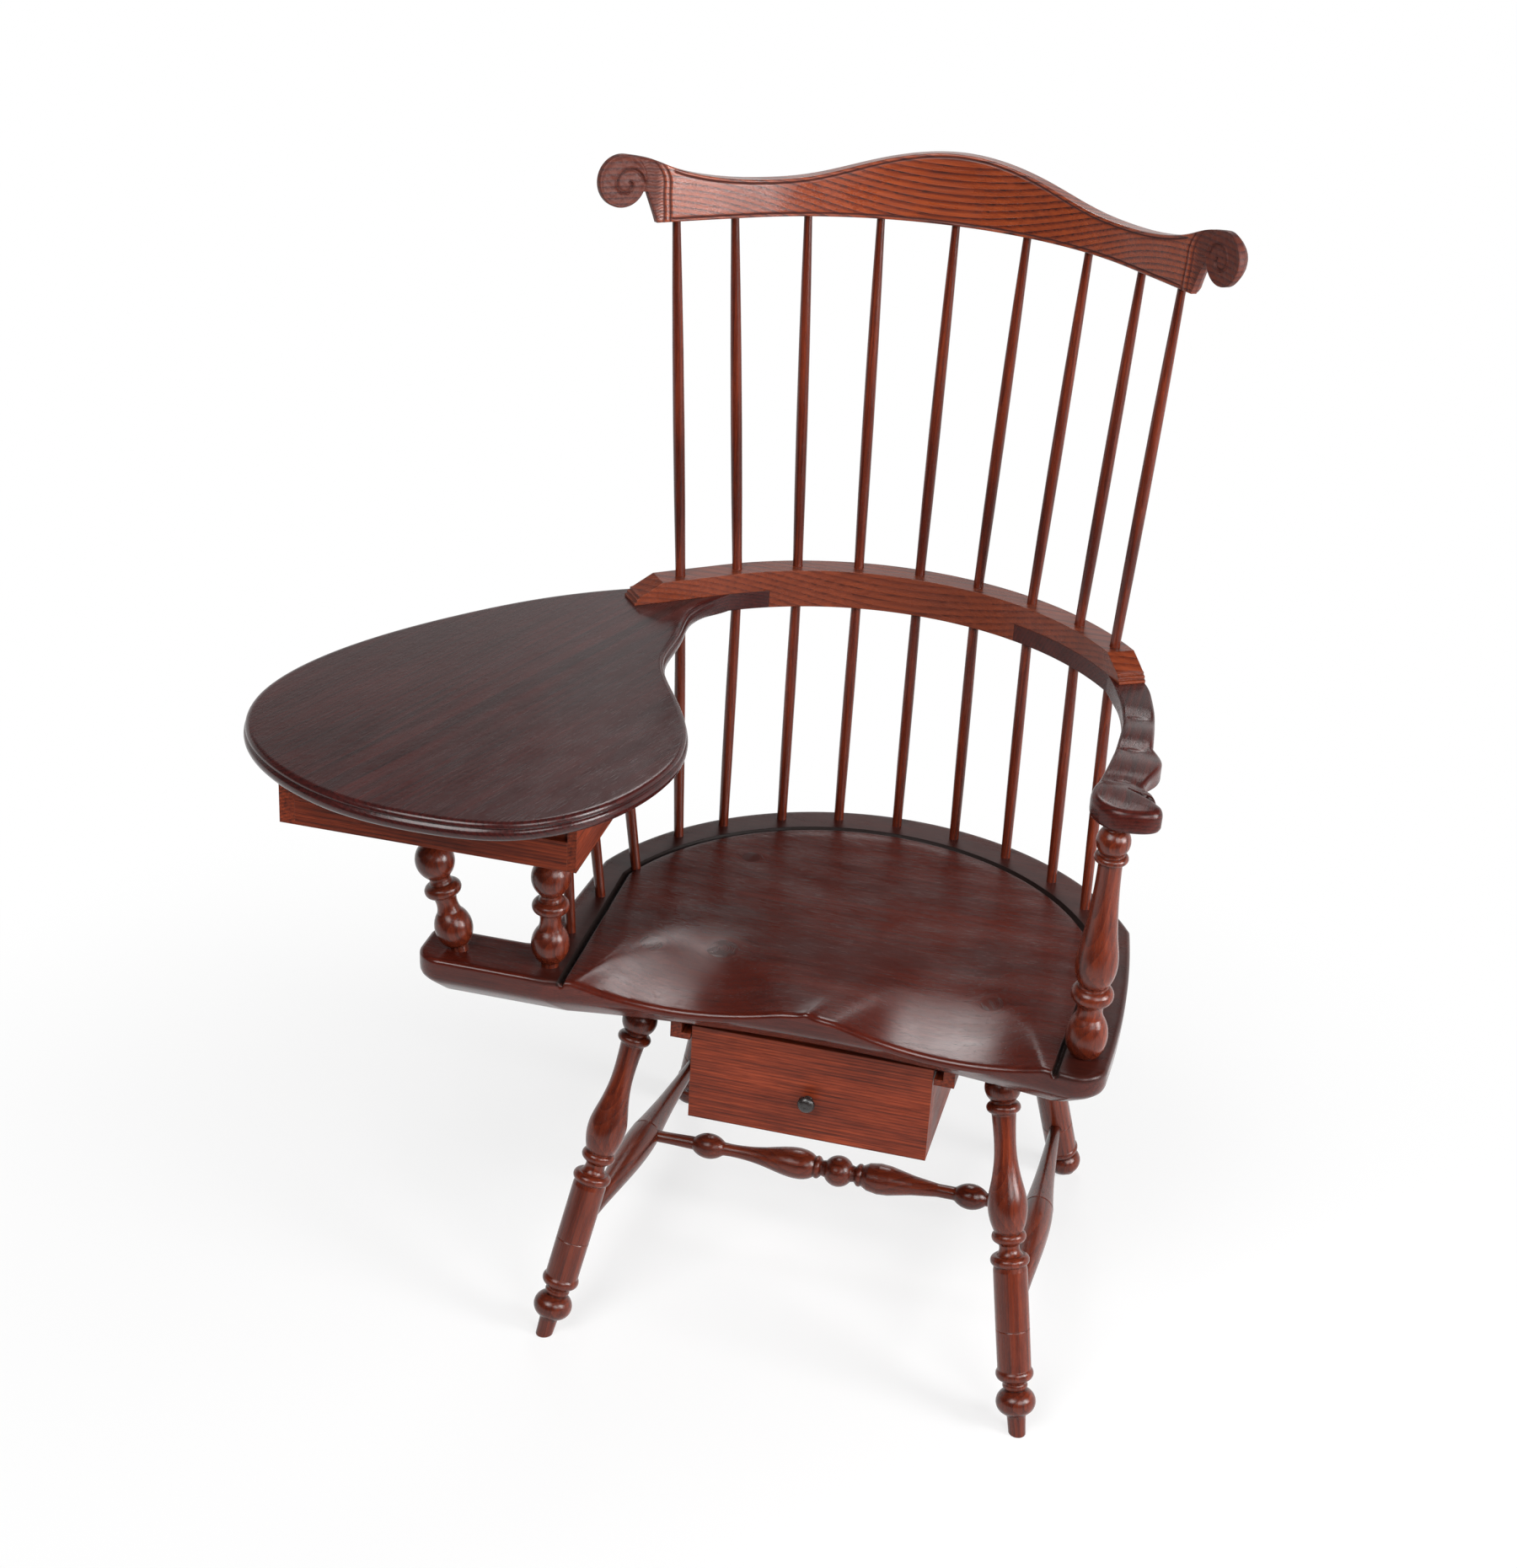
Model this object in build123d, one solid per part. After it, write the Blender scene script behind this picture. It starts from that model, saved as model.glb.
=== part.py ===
from build123d import *
import os
from math import cos, radians, sin, sqrt, tan

# Writing-arm Windsor chair. Millimetres, floor at z = 0, the sitter faces -Y.
# It is drawn with x = 0 in the middle of the seat and the writing tablet on the
# -X side, and saved with its origin on the floor under the middle of its box.
os.makedirs("parts", exist_ok=True)

# ---- fits ----
fit = 0.05                    # radial room in every glued round socket
face_gap = 0.05               # room between two glued flat faces
slide_gap = 0.4               # room round a drawer that slides
reach = 600.0                 # half size of a block that cuts right across the chair

# ---- where the saved origin lies, in the drawing's own x and y ----
origin_x = -116.27
origin_y = -88.97

# ---- seat plank ----
seat_top = 430.0
seat_thick = 44.0
seat_under = seat_top - seat_thick
seat_back_radius = 304.0      # plan radius of the rear edge
seat_back_centre = (8.0, -77.0)
seat_half_width = 294.0       # at the front corners
seat_front = -236.0
seat_front_mid = -214.0       # the front edge is hollowed a little at the middle
wing_end = -400.0             # left end of the extension that carries the posts
wing_back = -170.0
edge_band = 22.0              # upright part of the edge, undercut below it
undercut = 20.0
gutter_radius = 262.0
gutter_centre = (2.0, -82.0)
gutter_half_width = 243.0
gutter_width = 5.0
gutter_depth = 2.6

# ---- arm rail, tablet and right arm ----
rail_middle = -88.0           # y of the centre of the arm rail arc, before the back is set round
back_turn = 2.0               # the whole back is set round by this angle, tablet side to the rear
back_axis = 212.0             # y of the upright line it is set round about
spindle_arc = 302.0
rail_width = 28.5
arm_under = 686.0
arm_thick = 19.0
tablet_round = 6.0            # round on both edges of the tablet's rim
arm_top = arm_under + arm_thick
doubler_thick = 22.0
rail_top = arm_top + doubler_thick
straight_from = 38.0          # the tablet end of the rail runs on straight from this angle
straight_run = 107.0          # and ends this far on
doubler_foot = 59.0           # angle of the doubler's other end
doubler_slope = 31.0          # length of the moulded slope at each end of the doubler
seam_left = 29.0              # butt joints between the thick middle and the arms
seam_right = 25.0

# ---- spindles ----
seat_arc = 283.0              # spindle line on the seat
seat_arc_centre = -76.0
rail_half = {"left": [0.0, 64.5, 126.0, 182.5, 232.0], "right": [0.0, 64.5, 126.0, 182.5, 226.0]}
seat_half = {"left": [0.0, 64.5, 124.5, 181.5, 221.0], "right": [0.0, 66.0, 127.5, 184.0, 227.0]}
spindle_foot = 5.2            # radius at the seat and at the crest end
spindle_swell = 5.9
elbow_radius = 5.4            # slight knuckle where a spindle bends inside the rail
spindle_tip = 4.2
spindle_tenon = 24.0          # depth of every spindle end in its socket

# ---- crest ----
crest_radius = 266.0
crest_centre = -20.0
crest_bottom = 1093.0
crest_thick = 20.0
crest_lean = 5.5
crest_bend_end = 47.0         # beyond this angle the ears run straight
crest_half = [0.0, 75.5, 143.5, 204.5, 250.0]
crest_arch = 3.4              # the lower edge is this much higher at the middle
crest_droop = 3.4             # and this much lower at the ears
crest_edge_half = 280.0
band_foot = (268.0, 277.0)    # half widths where the band ends, at its lower edge and at the notch
notch_high = 27.5
volute_radius = 25.5
volute_run = 148.5            # from the end of the bend to the middle of the volute
volute_up = 38.0
volute_step = (19.5, 12.5)    # outer radii of the two carved turns
volute_cut = 2.5
crest_top = [(0.0, 75.0), (88.0, 60.0), (147.0, 43.0), (190.0, 39.5), (230.0, 43.5),
             (258.0, 52.0), (276.0, 60.0), (293.5, 63.3)]   # upper edge, half width and rise

# ---- legs and stretchers ----
front_leg_top = (180.0, -129.5, seat_under + 4.0)
front_leg_foot = (253.0, -239.7, 0.0)
rear_leg_top = (152.0, 140.0, seat_under)
rear_leg_foot = (230.0, 235.0, 0.0)
leg_tenon = 11.5
leg_socket_depth = 24.0
stretcher_front_z = 106.0     # the incised ring on each leg marks the socket
stretcher_rear_z = 76.0
stretcher_tenon = 6.5
stretcher_socket = 13.0
medial_from = 7.0             # the medial tenon ends this far from the side stretcher's axis
medial_share = 0.54           # where the medial stretcher meets the side ones

# ---- under-seat drawer ----
seat_drawer_half = 123.5
seat_drawer_front = -180.0
seat_drawer_depth = 230.0
seat_drawer_bottom = 265.0
seat_drawer_top = 373.0
seat_drawer_travel = 165.0
cleat_wide = 10.0
cleat_high = 8.5
bearer_foot = 7.0
bearer_leg = 11.5

# ---- tablet drawer ----
arm_drawer_left = -480.0
arm_drawer_right = -192.0
arm_drawer_front = -363.0
arm_drawer_back = -233.0
arm_drawer_clear = 4.0        # air between the drawer and the tablet above it
arm_drawer_high = 52.0
arm_drawer_bottom = arm_under - arm_drawer_clear - arm_drawer_high
arm_drawer_travel = 110.0
rabbet_low = 30.0             # height of the rabbet's shoulder above the drawer bottom
rabbet_deep = 4.5
rabbet_stop = 9.0             # solid wood left at the right end of the rabbet
hanger_thick = 7.0
hanger_long = 150.0

# ---- drawer boards ----
front_board = 15.0
side_board = 9.0
bottom_board = 5.0
bottom_up = 6.0
groove_deep = 4.0
knob_radius = 9.0


def save(shape, name):
    placed = Pos(-origin_x, -origin_y, 0) * shape
    placed.label = name
    export_step(placed, os.path.join("parts", name + ".step"))


def mirrored(point):
    return (-point[0], point[1], point[2])


def along(start, end, share):
    return tuple(a + (b - a) * share for a, b in zip(start, end))


def at_height(start, end, z):
    return along(start, end, (z - start[2]) / (end[2] - start[2]))


def distance(start, end):
    return sqrt(sum((b - a) ** 2 for a, b in zip(start, end)))


def rod(start, end, radius, before=0.0, after=0.0):
    """Plain cylinder between two points, run on past either end."""
    length = distance(start, end)
    body = Pos(0, 0, -before) * Cylinder(
        radius, length + before + after, align=(Align.CENTER, Align.CENTER, Align.MIN))
    return Plane(origin=start, z_dir=Vector(*end) - Vector(*start)) * body


def turned(profile, start, end):
    """Turn a profile about the line start-end.

    Each entry is (radius, distance) for a straight line, (radius, distance,
    bulge) for an arc that swells by bulge, or a list of points for a free curve.
    """
    here = profile[0]
    edges = [Line((0, here[1]), here)]
    for entry in profile[1:]:
        if isinstance(entry, list):
            edges.append(Spline([here] + entry))
            here = entry[-1]
        elif len(entry) == 3:
            there = (entry[0], entry[1])
            edges.append(SagittaArc(here, there, -entry[2]))
            here = there
        else:
            edges.append(Line(here, entry))
            here = entry
    edges.append(Line(here, (0, here[1])))
    edges.append(Line((0, here[1]), (0, profile[0][1])))
    outline = Plane.XZ * make_face(edges)
    solid = revolve(outline, Axis.Z)
    return Plane(origin=start, z_dir=Vector(*end) - Vector(*start)) * solid


def polar(radius, angle, centre):
    """Plan point on an arc, the angle counted from the back towards +X."""
    return (centre[0] + radius * sin(radians(angle)), centre[1] + radius * cos(radians(angle)))


def swung(x, y):
    """Plan point set round with the back."""
    c = cos(radians(back_turn))
    s = sin(radians(back_turn))
    return (x * c + (y - back_axis) * s, back_axis + (y - back_axis) * c - x * s)


def arc_points(radius, first, last, centre):
    middle = (first + last) / 2
    return [polar(radius, a, centre) for a in (first, middle, last)]


def slab(x0, x1, y0, y1, z0, z1):
    return Pos(x0, y0, z0) * Box(
        x1 - x0, y1 - y0, z1 - z0, align=(Align.MIN, Align.MIN, Align.MIN))


# ---------------------------------------------------------------- turned parts
front_length = distance(front_leg_top, front_leg_foot)
front_leg_profile = [
    (leg_tenon, -leg_socket_depth + 1.0),
    (leg_tenon, 35.0),
    (13.0, 61.0, 6.0),
    (13.0, 63.5),
    (13.0, 74.0, 4.4),
    (12.4, 76.0),
    [(11.2, 100.0), (11.8, 122.0), (15.8, 146.0), (20.0, 168.0), (18.6, 186.0), (14.6, 198.0)],
    (14.6, 208.5, 3.0),
    (10.8, 211.5),
    (13.6, 222.5, -1.6),
    (16.6, 233.0, 4.8),
    (17.5, 238.0),
    (17.5, 299.0),
    (16.9, 300.0),
    (17.5, 301.0),
    (17.3, 343.0),
    (14.0, 355.0, 3.6),
    (12.3, 358.0),
    (11.0, 365.0, 1.2),
    (10.6, 391.5, 9.6),
    (9.6, 395.0),
    (8.4, front_length + 8.0),
]
rear_length = distance(rear_leg_top, rear_leg_foot)
groove_at = distance(rear_leg_top, at_height(rear_leg_top, rear_leg_foot, stretcher_rear_z))
rear_leg_profile = [
    (leg_tenon, -leg_socket_depth + 1.0),
    (leg_tenon, 6.0),
    [(13.4, 40.0), (16.6, 90.0), (17.5, 150.0)],
    (17.5, groove_at - 1.0),
    (16.9, groove_at),
    (17.5, groove_at + 1.0),
    (17.5, rear_length - 42.0),
    (14.0, rear_length - 33.0, 3.0),
    (12.0, rear_length - 30.0),
    (9.6, rear_length - 4.0, 8.4),
    (9.0, rear_length + 8.0),
]
stump_profile = [
    (10.5, -23.0),
    (10.5, 1.5),
    (15.0, 3.5),
    (15.2, 42.0, 5.2),
    (13.6, 45.0),
    (14.4, 60.0, -1.8),
    (14.4, 78.0, 6.2),
    (14.0, 80.0),
    [(19.0, 92.0), (20.4, 106.0), (17.4, 128.0), (14.0, 156.0), (12.0, 186.0), (11.4, 206.0)],
    (11.4, 214.0),
    (12.6, 222.0, 4.2),
    (12.0, 224.0),
    (9.6, 249.0, 5.4),
    (9.0, 251.0),
    (9.0, 273.0),
]
post_profile = [
    (9.0, -21.0),
    (9.0, 5.0),
    (12.5, 7.0),
    (12.4, 43.0, 6.8),
    (11.4, 46.0),
    (12.2, 61.0, -1.2),
    (12.2, 75.0, 6.6),
    (11.6, 77.0),
    (11.0, 82.0, -0.6),
    (11.4, 118.0, 8.6),
    (10.0, 122.0),
    (10.0, 150.0),
]


def ball_and_vase(half):
    """Half of the medial stretcher, from its end to the middle of the ball."""
    return [
        (stretcher_tenon, medial_from),
        (stretcher_tenon, stretcher_socket + 14.0),
        (7.4, half - 166.0),
        (8.0, half - 132.0, 6.6),
        (7.4, half - 130.0),
        [(7.4, half - 112.0), (11.0, half - 84.0), (16.4, half - 58.0), (17.3, half - 46.0),
         (15.4, half - 34.0), (11.4, half - 27.0)],
        (11.4, half - 21.0, 1.4),
        (8.6, half - 18.6),
        (9.6, half - 14.4),
    ]


front_foot = {"right": front_leg_foot, "left": mirrored(front_leg_foot)}
front_top = {"right": front_leg_top, "left": mirrored(front_leg_top)}
rear_foot = {"right": rear_leg_foot, "left": mirrored(rear_leg_foot)}
rear_top = {"right": rear_leg_top, "left": mirrored(rear_leg_top)}

side_line = {}
for side in ("left", "right"):
    ahead = at_height(front_top[side], front_foot[side], stretcher_front_z)
    behind = at_height(rear_top[side], rear_foot[side], stretcher_rear_z)
    side_line[side] = (ahead, behind)

side_length = distance(*side_line["right"])
side_profile = [
    (stretcher_tenon, 17.5 - stretcher_socket),
    (stretcher_tenon, 20.0),
    (7.0, 40.0),
    [(9.6, 90.0), (14.6, 150.0), (16.6, side_length * medial_share - 1.0)],
    (16.0, side_length * medial_share),
    (16.6, side_length * medial_share + 1.0),
    [(14.6, side_length - 176.0), (9.6, side_length - 104.0), (7.0, side_length - 40.0)],
    (stretcher_tenon, side_length - 20.0),
    (stretcher_tenon, side_length - 17.5 + stretcher_socket),
]

medial_right = along(*side_line["right"], medial_share)
medial_left = mirrored(medial_right)
medial_half = medial_right[0]
whole = 2 * medial_half


def turned_back(profile, whole):
    """The same half of a profile, read from the other end of the piece."""
    points = []
    for entry in profile:
        points += entry if isinstance(entry, list) else [entry]
    back = []
    for k in range(len(points) - 1, 0, -1):
        r, d = points[k - 1][:2]
        back.append((r, whole - d) + points[k][2:])
    return back


first_half = ball_and_vase(medial_half)
last_half = turned_back(first_half, whole)
medial_profile = first_half + [(9.6, medial_half + 14.4, 7.8)] + last_half

leg_sockets = []
for side in ("left", "right"):
    ahead, behind = side_line[side]
    side_socket = rod(ahead, behind, stretcher_tenon + fit,
                      before=-(17.5 - stretcher_socket - 0.5), after=-(17.5 - stretcher_socket - 0.5))
    medial_socket = rod(medial_left, medial_right, stretcher_tenon + fit,
                        before=0.5 - medial_from, after=0.5 - medial_from)
    front_leg = turned(front_leg_profile, front_top[side], front_foot[side]) - side_socket
    rear_leg = turned(rear_leg_profile, rear_top[side], rear_foot[side]) - side_socket
    below_floor = slab(-reach, reach, -reach, reach, -reach, 0)
    save(front_leg - below_floor, "leg_front_" + side)
    save(rear_leg - below_floor, "leg_rear_" + side)
    save(turned(side_profile, ahead, behind) - medial_socket, "stretcher_side_" + side)
    for top, foot in ((front_top[side], front_foot[side]), (rear_top[side], rear_foot[side])):
        leg_sockets.append(rod(top, foot, leg_tenon + fit, before=leg_socket_depth,
                               after=-distance(top, foot) + 30.0))
save(turned(medial_profile, medial_left, medial_right), "stretcher_medial")

# ---------------------------------------------------------------- long spindles
lean_plane_y = crest_centre + crest_radius
rail_centre = swung(0, rail_middle)
rail_inner = spindle_arc - rail_width / 2
rail_outer = spindle_arc + rail_width / 2


def crest_plan(x):
    """Plan point of the spindle line under the crest, before the lean."""
    edge = polar(crest_radius, crest_bend_end, (0, crest_centre))
    if abs(x) <= edge[0]:
        return (x, crest_centre + sqrt(crest_radius ** 2 - x ** 2))
    out = abs(x) - edge[0]
    return (x, edge[1] - out * tan(radians(crest_bend_end)))


def leaned(point):
    """Lean a point about the level line through the crest bottom, then set it round."""
    y = point[1] - lean_plane_y
    z = point[2] - crest_bottom
    c = cos(radians(crest_lean))
    s = sin(radians(crest_lean))
    return (*swung(point[0], lean_plane_y + y * c + z * s), crest_bottom - y * s + z * c)


edge_radius = (crest_edge_half ** 2 + (crest_arch + crest_droop) ** 2) / (2 * (crest_arch + crest_droop))


def crest_low(x):
    """Height of the crest's arched lower edge."""
    return crest_bottom + crest_arch - edge_radius + sqrt(edge_radius ** 2 - x ** 2)


straight_dir = (-cos(radians(straight_from)), -sin(radians(straight_from)))


def straight_point(run, offset=0.0):
    """Plan point on the straight tablet end of the rail, offset outwards."""
    start = polar(spindle_arc + offset, -straight_from, rail_centre)
    return (start[0] + straight_dir[0] * run, start[1] + straight_dir[1] * run)


def rail_point(x, z):
    """Where the spindle with that half spacing passes through the rail."""
    x = swung(x, rail_middle + sqrt(spindle_arc ** 2 - x ** 2))[0]
    turn_off = straight_point(0)
    if x > turn_off[0]:
        return (x, rail_centre[1] + sqrt(spindle_arc ** 2 - (x - rail_centre[0]) ** 2), z)
    run = (x - turn_off[0]) / straight_dir[0]
    return (*straight_point(run), z)


def seat_point(x):
    return (x, seat_arc_centre + sqrt(seat_arc ** 2 - x ** 2), seat_top)


kink_z = (arm_under + rail_top) / 2
spindles = []
for number in range(9):
    rank = abs(number - 4)
    side, sign = ("left", -1) if number < 4 else ("right", 1)
    low = seat_point(sign * seat_half[side][rank])
    mid = rail_point(sign * rail_half[side][rank], kink_z)
    x_crest, y_crest = crest_plan(sign * crest_half[rank])
    high = leaned((x_crest, y_crest, crest_low(x_crest)))
    lower_length = distance(low, mid)
    upper_length = distance(mid, high)
    lower = turned([
        (spindle_foot, -spindle_tenon + 1.0),
        (spindle_foot, 4.0),
        [(spindle_swell, lower_length * 0.45), (spindle_foot, lower_length - 24.0)],
        (spindle_foot, lower_length),
    ], low, mid)
    upper = turned([
        (spindle_foot, 0.0),
        (spindle_foot, 24.0),
        [(spindle_swell, upper_length * 0.28), (spindle_tip, upper_length - 6.0)],
        (spindle_tip, upper_length + spindle_tenon - 1.0),
    ], mid, high)
    elbow = Pos(*mid) * Sphere(elbow_radius)
    spindles.append((low, mid, high))
    save(lower + elbow + upper, f"spindle_long_{number + 1}")


def spindle_hole(low, mid, high):
    """Room for a long spindle: bent in the rail, plain in seat and crest."""
    bore = rod(low, mid, spindle_foot + fit, before=spindle_tenon, after=0.0)
    bore += rod(mid, high, spindle_foot + fit, after=-distance(mid, high) + 60.0)
    bore += Pos(*mid) * Sphere(elbow_radius + fit)
    return bore


# ---------------------------------------------------------------- short spindles
short_line = [
    ((-244.0, 16.0, seat_top), (-277.0, 18.0, arm_under)),
    ((-261.0, -55.0, seat_top), (-291.0, -56.0, arm_under)),
    ((-267.0, -136.0, seat_top), (-283.0, -138.0, arm_under)),
    ((244.0, 16.0, seat_top), (262.0, 14.0, arm_under)),
    ((261.0, -55.0, seat_top), (270.0, -57.0, arm_under)),
]
short_tenon = 13.0            # the arm is thin, so the upper tenons are short
for number, (low, high) in enumerate(short_line):
    length = distance(low, high)
    stick = turned([
        (spindle_foot, -spindle_tenon + 1.0),
        (spindle_foot, 4.0),
        [(spindle_swell, length * 0.5), (spindle_foot, length - 4.0)],
        (spindle_foot, length + short_tenon - 1.0),
    ], low, high)
    save(stick, f"spindle_short_{number + 1}")

# ---------------------------------------------------------------- posts and stump
post_line = {
    "outer": ((-361.0, -205.0, seat_top), (-430.0, -208.0, arm_under)),
    "inner": ((-266.0, -205.0, seat_top), (-267.0, -208.0, arm_under)),
}
post_tenon = 9.0
for name, (low, high) in post_line.items():
    length = distance(low, high)
    shape = turned(post_profile + [(post_tenon, length - 30.0), (post_tenon, length + short_tenon - 1.0)],
                   low, high)
    save(shape, "tablet_post_" + name)

stump_low = (268.0, -192.0, seat_top)
stump_high = (271.0, -197.0, arm_under)
save(turned(stump_profile[:-1] + [(9.0, distance(stump_low, stump_high) + short_tenon - 1.0)],
            stump_low, stump_high), "arm_stump")

upper_sockets = [rod(low, high, spindle_foot + fit, before=-100.0, after=short_tenon)
                 for low, high in short_line]
upper_sockets += [rod(low, high, post_tenon + fit, before=-200.0, after=short_tenon)
                  for low, high in post_line.values()]
upper_sockets.append(rod(stump_low, stump_high, 9.0 + fit, before=-200.0, after=short_tenon))

# ---------------------------------------------------------------- seat
side_join = {"left": 20.0, "right": 60.0}   # y where the straight sides leave the rear arc


def seat_face(inset):
    """Plan outline of the plank, drawn in by inset all round."""
    r = seat_back_radius - inset
    cx, cy = seat_back_centre
    x_left = cx - sqrt(r ** 2 - (side_join["left"] - cy) ** 2)
    x_right = cx + sqrt(r ** 2 - (side_join["right"] - cy) ** 2)
    half = seat_half_width - inset
    front_y = seat_front + inset
    end = wing_end + inset
    back = wing_back - inset
    left = -seat_half_width + 4.0 + inset
    k = 1.0 - inset / 40.0    # the corners of the extension tighten as it narrows
    return make_face([
        ThreePointArc((x_left, side_join["left"]), (cx, cy + r), (x_right, side_join["right"])),
        Line((x_right, side_join["right"]), (half, front_y + 30.0)),
        ThreePointArc((half, front_y + 30.0), (half - 8.0, front_y + 9.0), (half - 30.0, front_y)),
        ThreePointArc((half - 30.0, front_y), (0, seat_front_mid + inset), (-half + 30.0, front_y)),
        Line((-half + 30.0, front_y), (end + 26.0 * k, front_y)),
        ThreePointArc((end + 26.0 * k, front_y), (end + 6.0 * k, front_y + 9.0 * k),
                      (end, front_y + 26.0 * k)),
        Line((end, front_y + 26.0 * k), (end, back - 14.0 * k)),
        ThreePointArc((end, back - 14.0 * k), (end + 4.0 * k, back - 4.0 * k), (end + 14.0 * k, back)),
        Line((end + 14.0 * k, back), (left - 14.0, back)),
        ThreePointArc((left - 14.0, back), (left - 4.0, back + 4.0), (left, back + 14.0)),
        Line((left, back + 14.0), (x_left, side_join["left"])),
    ])


band_low = seat_top - edge_band
plank = Pos(0, 0, band_low) * extrude(seat_face(0.0), edge_band)
plank = plank + loft([Pos(0, 0, seat_under) * seat_face(undercut), Pos(0, 0, band_low) * seat_face(0.0)],
                     ruled=True)


def inside_line(extra):
    """Plan outline just inside the gutter, grown by extra."""
    r = gutter_radius + extra
    half = gutter_half_width + extra
    cx, cy = gutter_centre
    reach = sqrt(r ** 2 - cy ** 2)
    low = seat_front - 20.0
    return make_face([
        ThreePointArc((cx - reach, 0), (cx, cy + r), (cx + reach, 0)),
        Line((cx + reach, 0), (half, low)),
        Line((half, low), (-half, low)),
        Line((-half, low), (cx - reach, 0)),
    ])


bowl_depth = 11.0
bowl_half = 236.0
bowl_radius = (bowl_half ** 2 + bowl_depth ** 2) / (2 * bowl_depth)
bowl = Pos(0, -30.0, seat_top + bowl_radius - bowl_depth) * Sphere(bowl_radius)
trough_radius = 330.0
trough_depth = 19.0
dish = bowl
for side in (-1, 1):
    start = (side * 112.0, -10.0, seat_top + trough_radius - 10.0)
    end = (side * 126.0, seat_front, seat_top + trough_radius - trough_depth)
    dish = dish + rod(start, end, trough_radius, before=0.0, after=80.0)
    dish = dish + Pos(*start) * Sphere(trough_radius)
inside = Pos(0, 0, seat_top - 30.0) * extrude(inside_line(0.0), 60.0)
gutter = Pos(0, 0, seat_top - gutter_depth) * (
    extrude(inside_line(gutter_width), 20.0) - extrude(inside_line(0.0), 20.0))
seat = plank - (dish & inside) - gutter
for socket in leg_sockets:
    seat = seat - socket
for low, mid, high in spindles:
    seat = seat - rod(low, mid, spindle_foot + fit, before=spindle_tenon, after=-200.0)
for low, high in short_line:
    seat = seat - rod(low, high, spindle_foot + fit, before=spindle_tenon, after=-200.0)
for low, high in post_line.values():
    seat = seat - rod(low, high, post_tenon + fit, before=22.0, after=-200.0)
seat = seat - rod(stump_low, stump_high, 10.5 + fit, before=24.0, after=-200.0)
save(seat, "seat")

# ---------------------------------------------------------------- arm rail


def ring_sector(first, last, low, high, inner=rail_inner, outer=rail_outer):
    start = polar(inner, first, rail_centre)
    end = polar(inner, last, rail_centre)
    middle = (first + last) / 2
    face = make_face([
        ThreePointArc(start, polar(inner, middle, rail_centre), end),
        Line(end, polar(outer, last, rail_centre)),
        ThreePointArc(polar(outer, last, rail_centre), polar(outer, middle, rail_centre),
                      polar(outer, first, rail_centre)),
        Line(polar(outer, first, rail_centre), start),
    ])
    return Pos(0, 0, low) * extrude(face, high - low)


arm_rail = ring_sector(-straight_from, doubler_foot, arm_top, rail_top)
arm_rail += ring_sector(-seam_left, seam_right, arm_under, arm_top)
half_rail = rail_width / 2
straight_plan = make_face(Polyline(
    straight_point(-1.0, -half_rail), straight_point(straight_run, -half_rail),
    straight_point(straight_run, half_rail), straight_point(-1.0, half_rail),
    straight_point(-1.0, -half_rail)))
arm_rail += Pos(0, 0, arm_top) * extrude(straight_plan, doubler_thick)
right_inward = (-cos(radians(doubler_foot)), sin(radians(doubler_foot)))
left_inward = (-straight_dir[0], -straight_dir[1])
for tip, inward in ((polar(spindle_arc, doubler_foot, rail_centre), right_inward),
                    (straight_point(straight_run), left_inward)):
    section = make_face(Polyline(
        (-5.0, doubler_thick + 5.0), (doubler_slope, doubler_thick + 5.0),
        (doubler_slope, doubler_thick), (9.0, 10.0), (5.5, 9.2), (5.5, 7.0), (2.5, 6.4),
        (2.5, 3.2), (0.0, 2.6), (-5.0, 2.6), (-5.0, doubler_thick + 5.0)))
    run_in = Vector(inward[0], inward[1], 0)
    cutter = Plane(origin=(tip[0], tip[1], arm_top), x_dir=run_in,
                   z_dir=run_in.cross(Vector(0, 0, 1))) * extrude(section, 30.0, both=True)
    arm_rail = arm_rail - cutter
for line in spindles:
    arm_rail = arm_rail - spindle_hole(*line)
save(arm_rail, "arm_rail")

# the right arm runs from its seam along the rail and ends in the carved hand-hold
arm_sweep = 54.0
hollow_radius = 34.0
inner_arc = arc_points(rail_inner, seam_right + 0.02, arm_sweep, rail_centre)
outer_arc = arc_points(rail_outer, seam_right + 0.02, arm_sweep + 3.0, rail_centre)
right_outline = make_face([
    ThreePointArc(*inner_arc),
    Spline(inner_arc[2], (244.0, 36.0), (251.0, -4.0), (253.0, -56.0), (251.0, -108.0),
           (244.0, -156.0), (246.0, -195.0), (263.0, -221.0)),
    Spline((263.0, -221.0), (286.0, -227.0), (305.0, -216.0), (312.0, -201.0), (304.0, -180.0)),
    Line((304.0, -180.0), (284.0, -154.0)),
    Spline((284.0, -154.0), (289.0, -134.0), (297.0, -108.0), (298.0, -88.0)),
    Spline((298.0, -88.0), (288.0, -68.0), (284.0, -46.0), (280.0, 0.0), (271.0, 46.0), outer_arc[2]),
    ThreePointArc(outer_arc[2], outer_arc[1], outer_arc[0]),
    Line(outer_arc[0], inner_arc[0]),
])
right_arm = Pos(0, 0, arm_under) * extrude(right_outline, arm_thick - face_gap)
hand_top = arm_top + 4.0
swell = Pos(0, 0, arm_top - 4.0) * extrude(right_outline, 8.0)
swell = swell & slab(200, 330, -262, -150, arm_top - 6.0, hand_top)
right_arm = right_arm + swell
for y, depth in ((-22.0, 3.0), (-80.0, 3.5), (-140.0, 5.0)):
    hollow_z = arm_top + hollow_radius - depth
    right_arm = right_arm - rod((180, y, hollow_z), (340, y, hollow_z), hollow_radius)
right_arm = right_arm - slab(283, 330, -196, -184, arm_under + 6.0, arm_top + 30.0)
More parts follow.
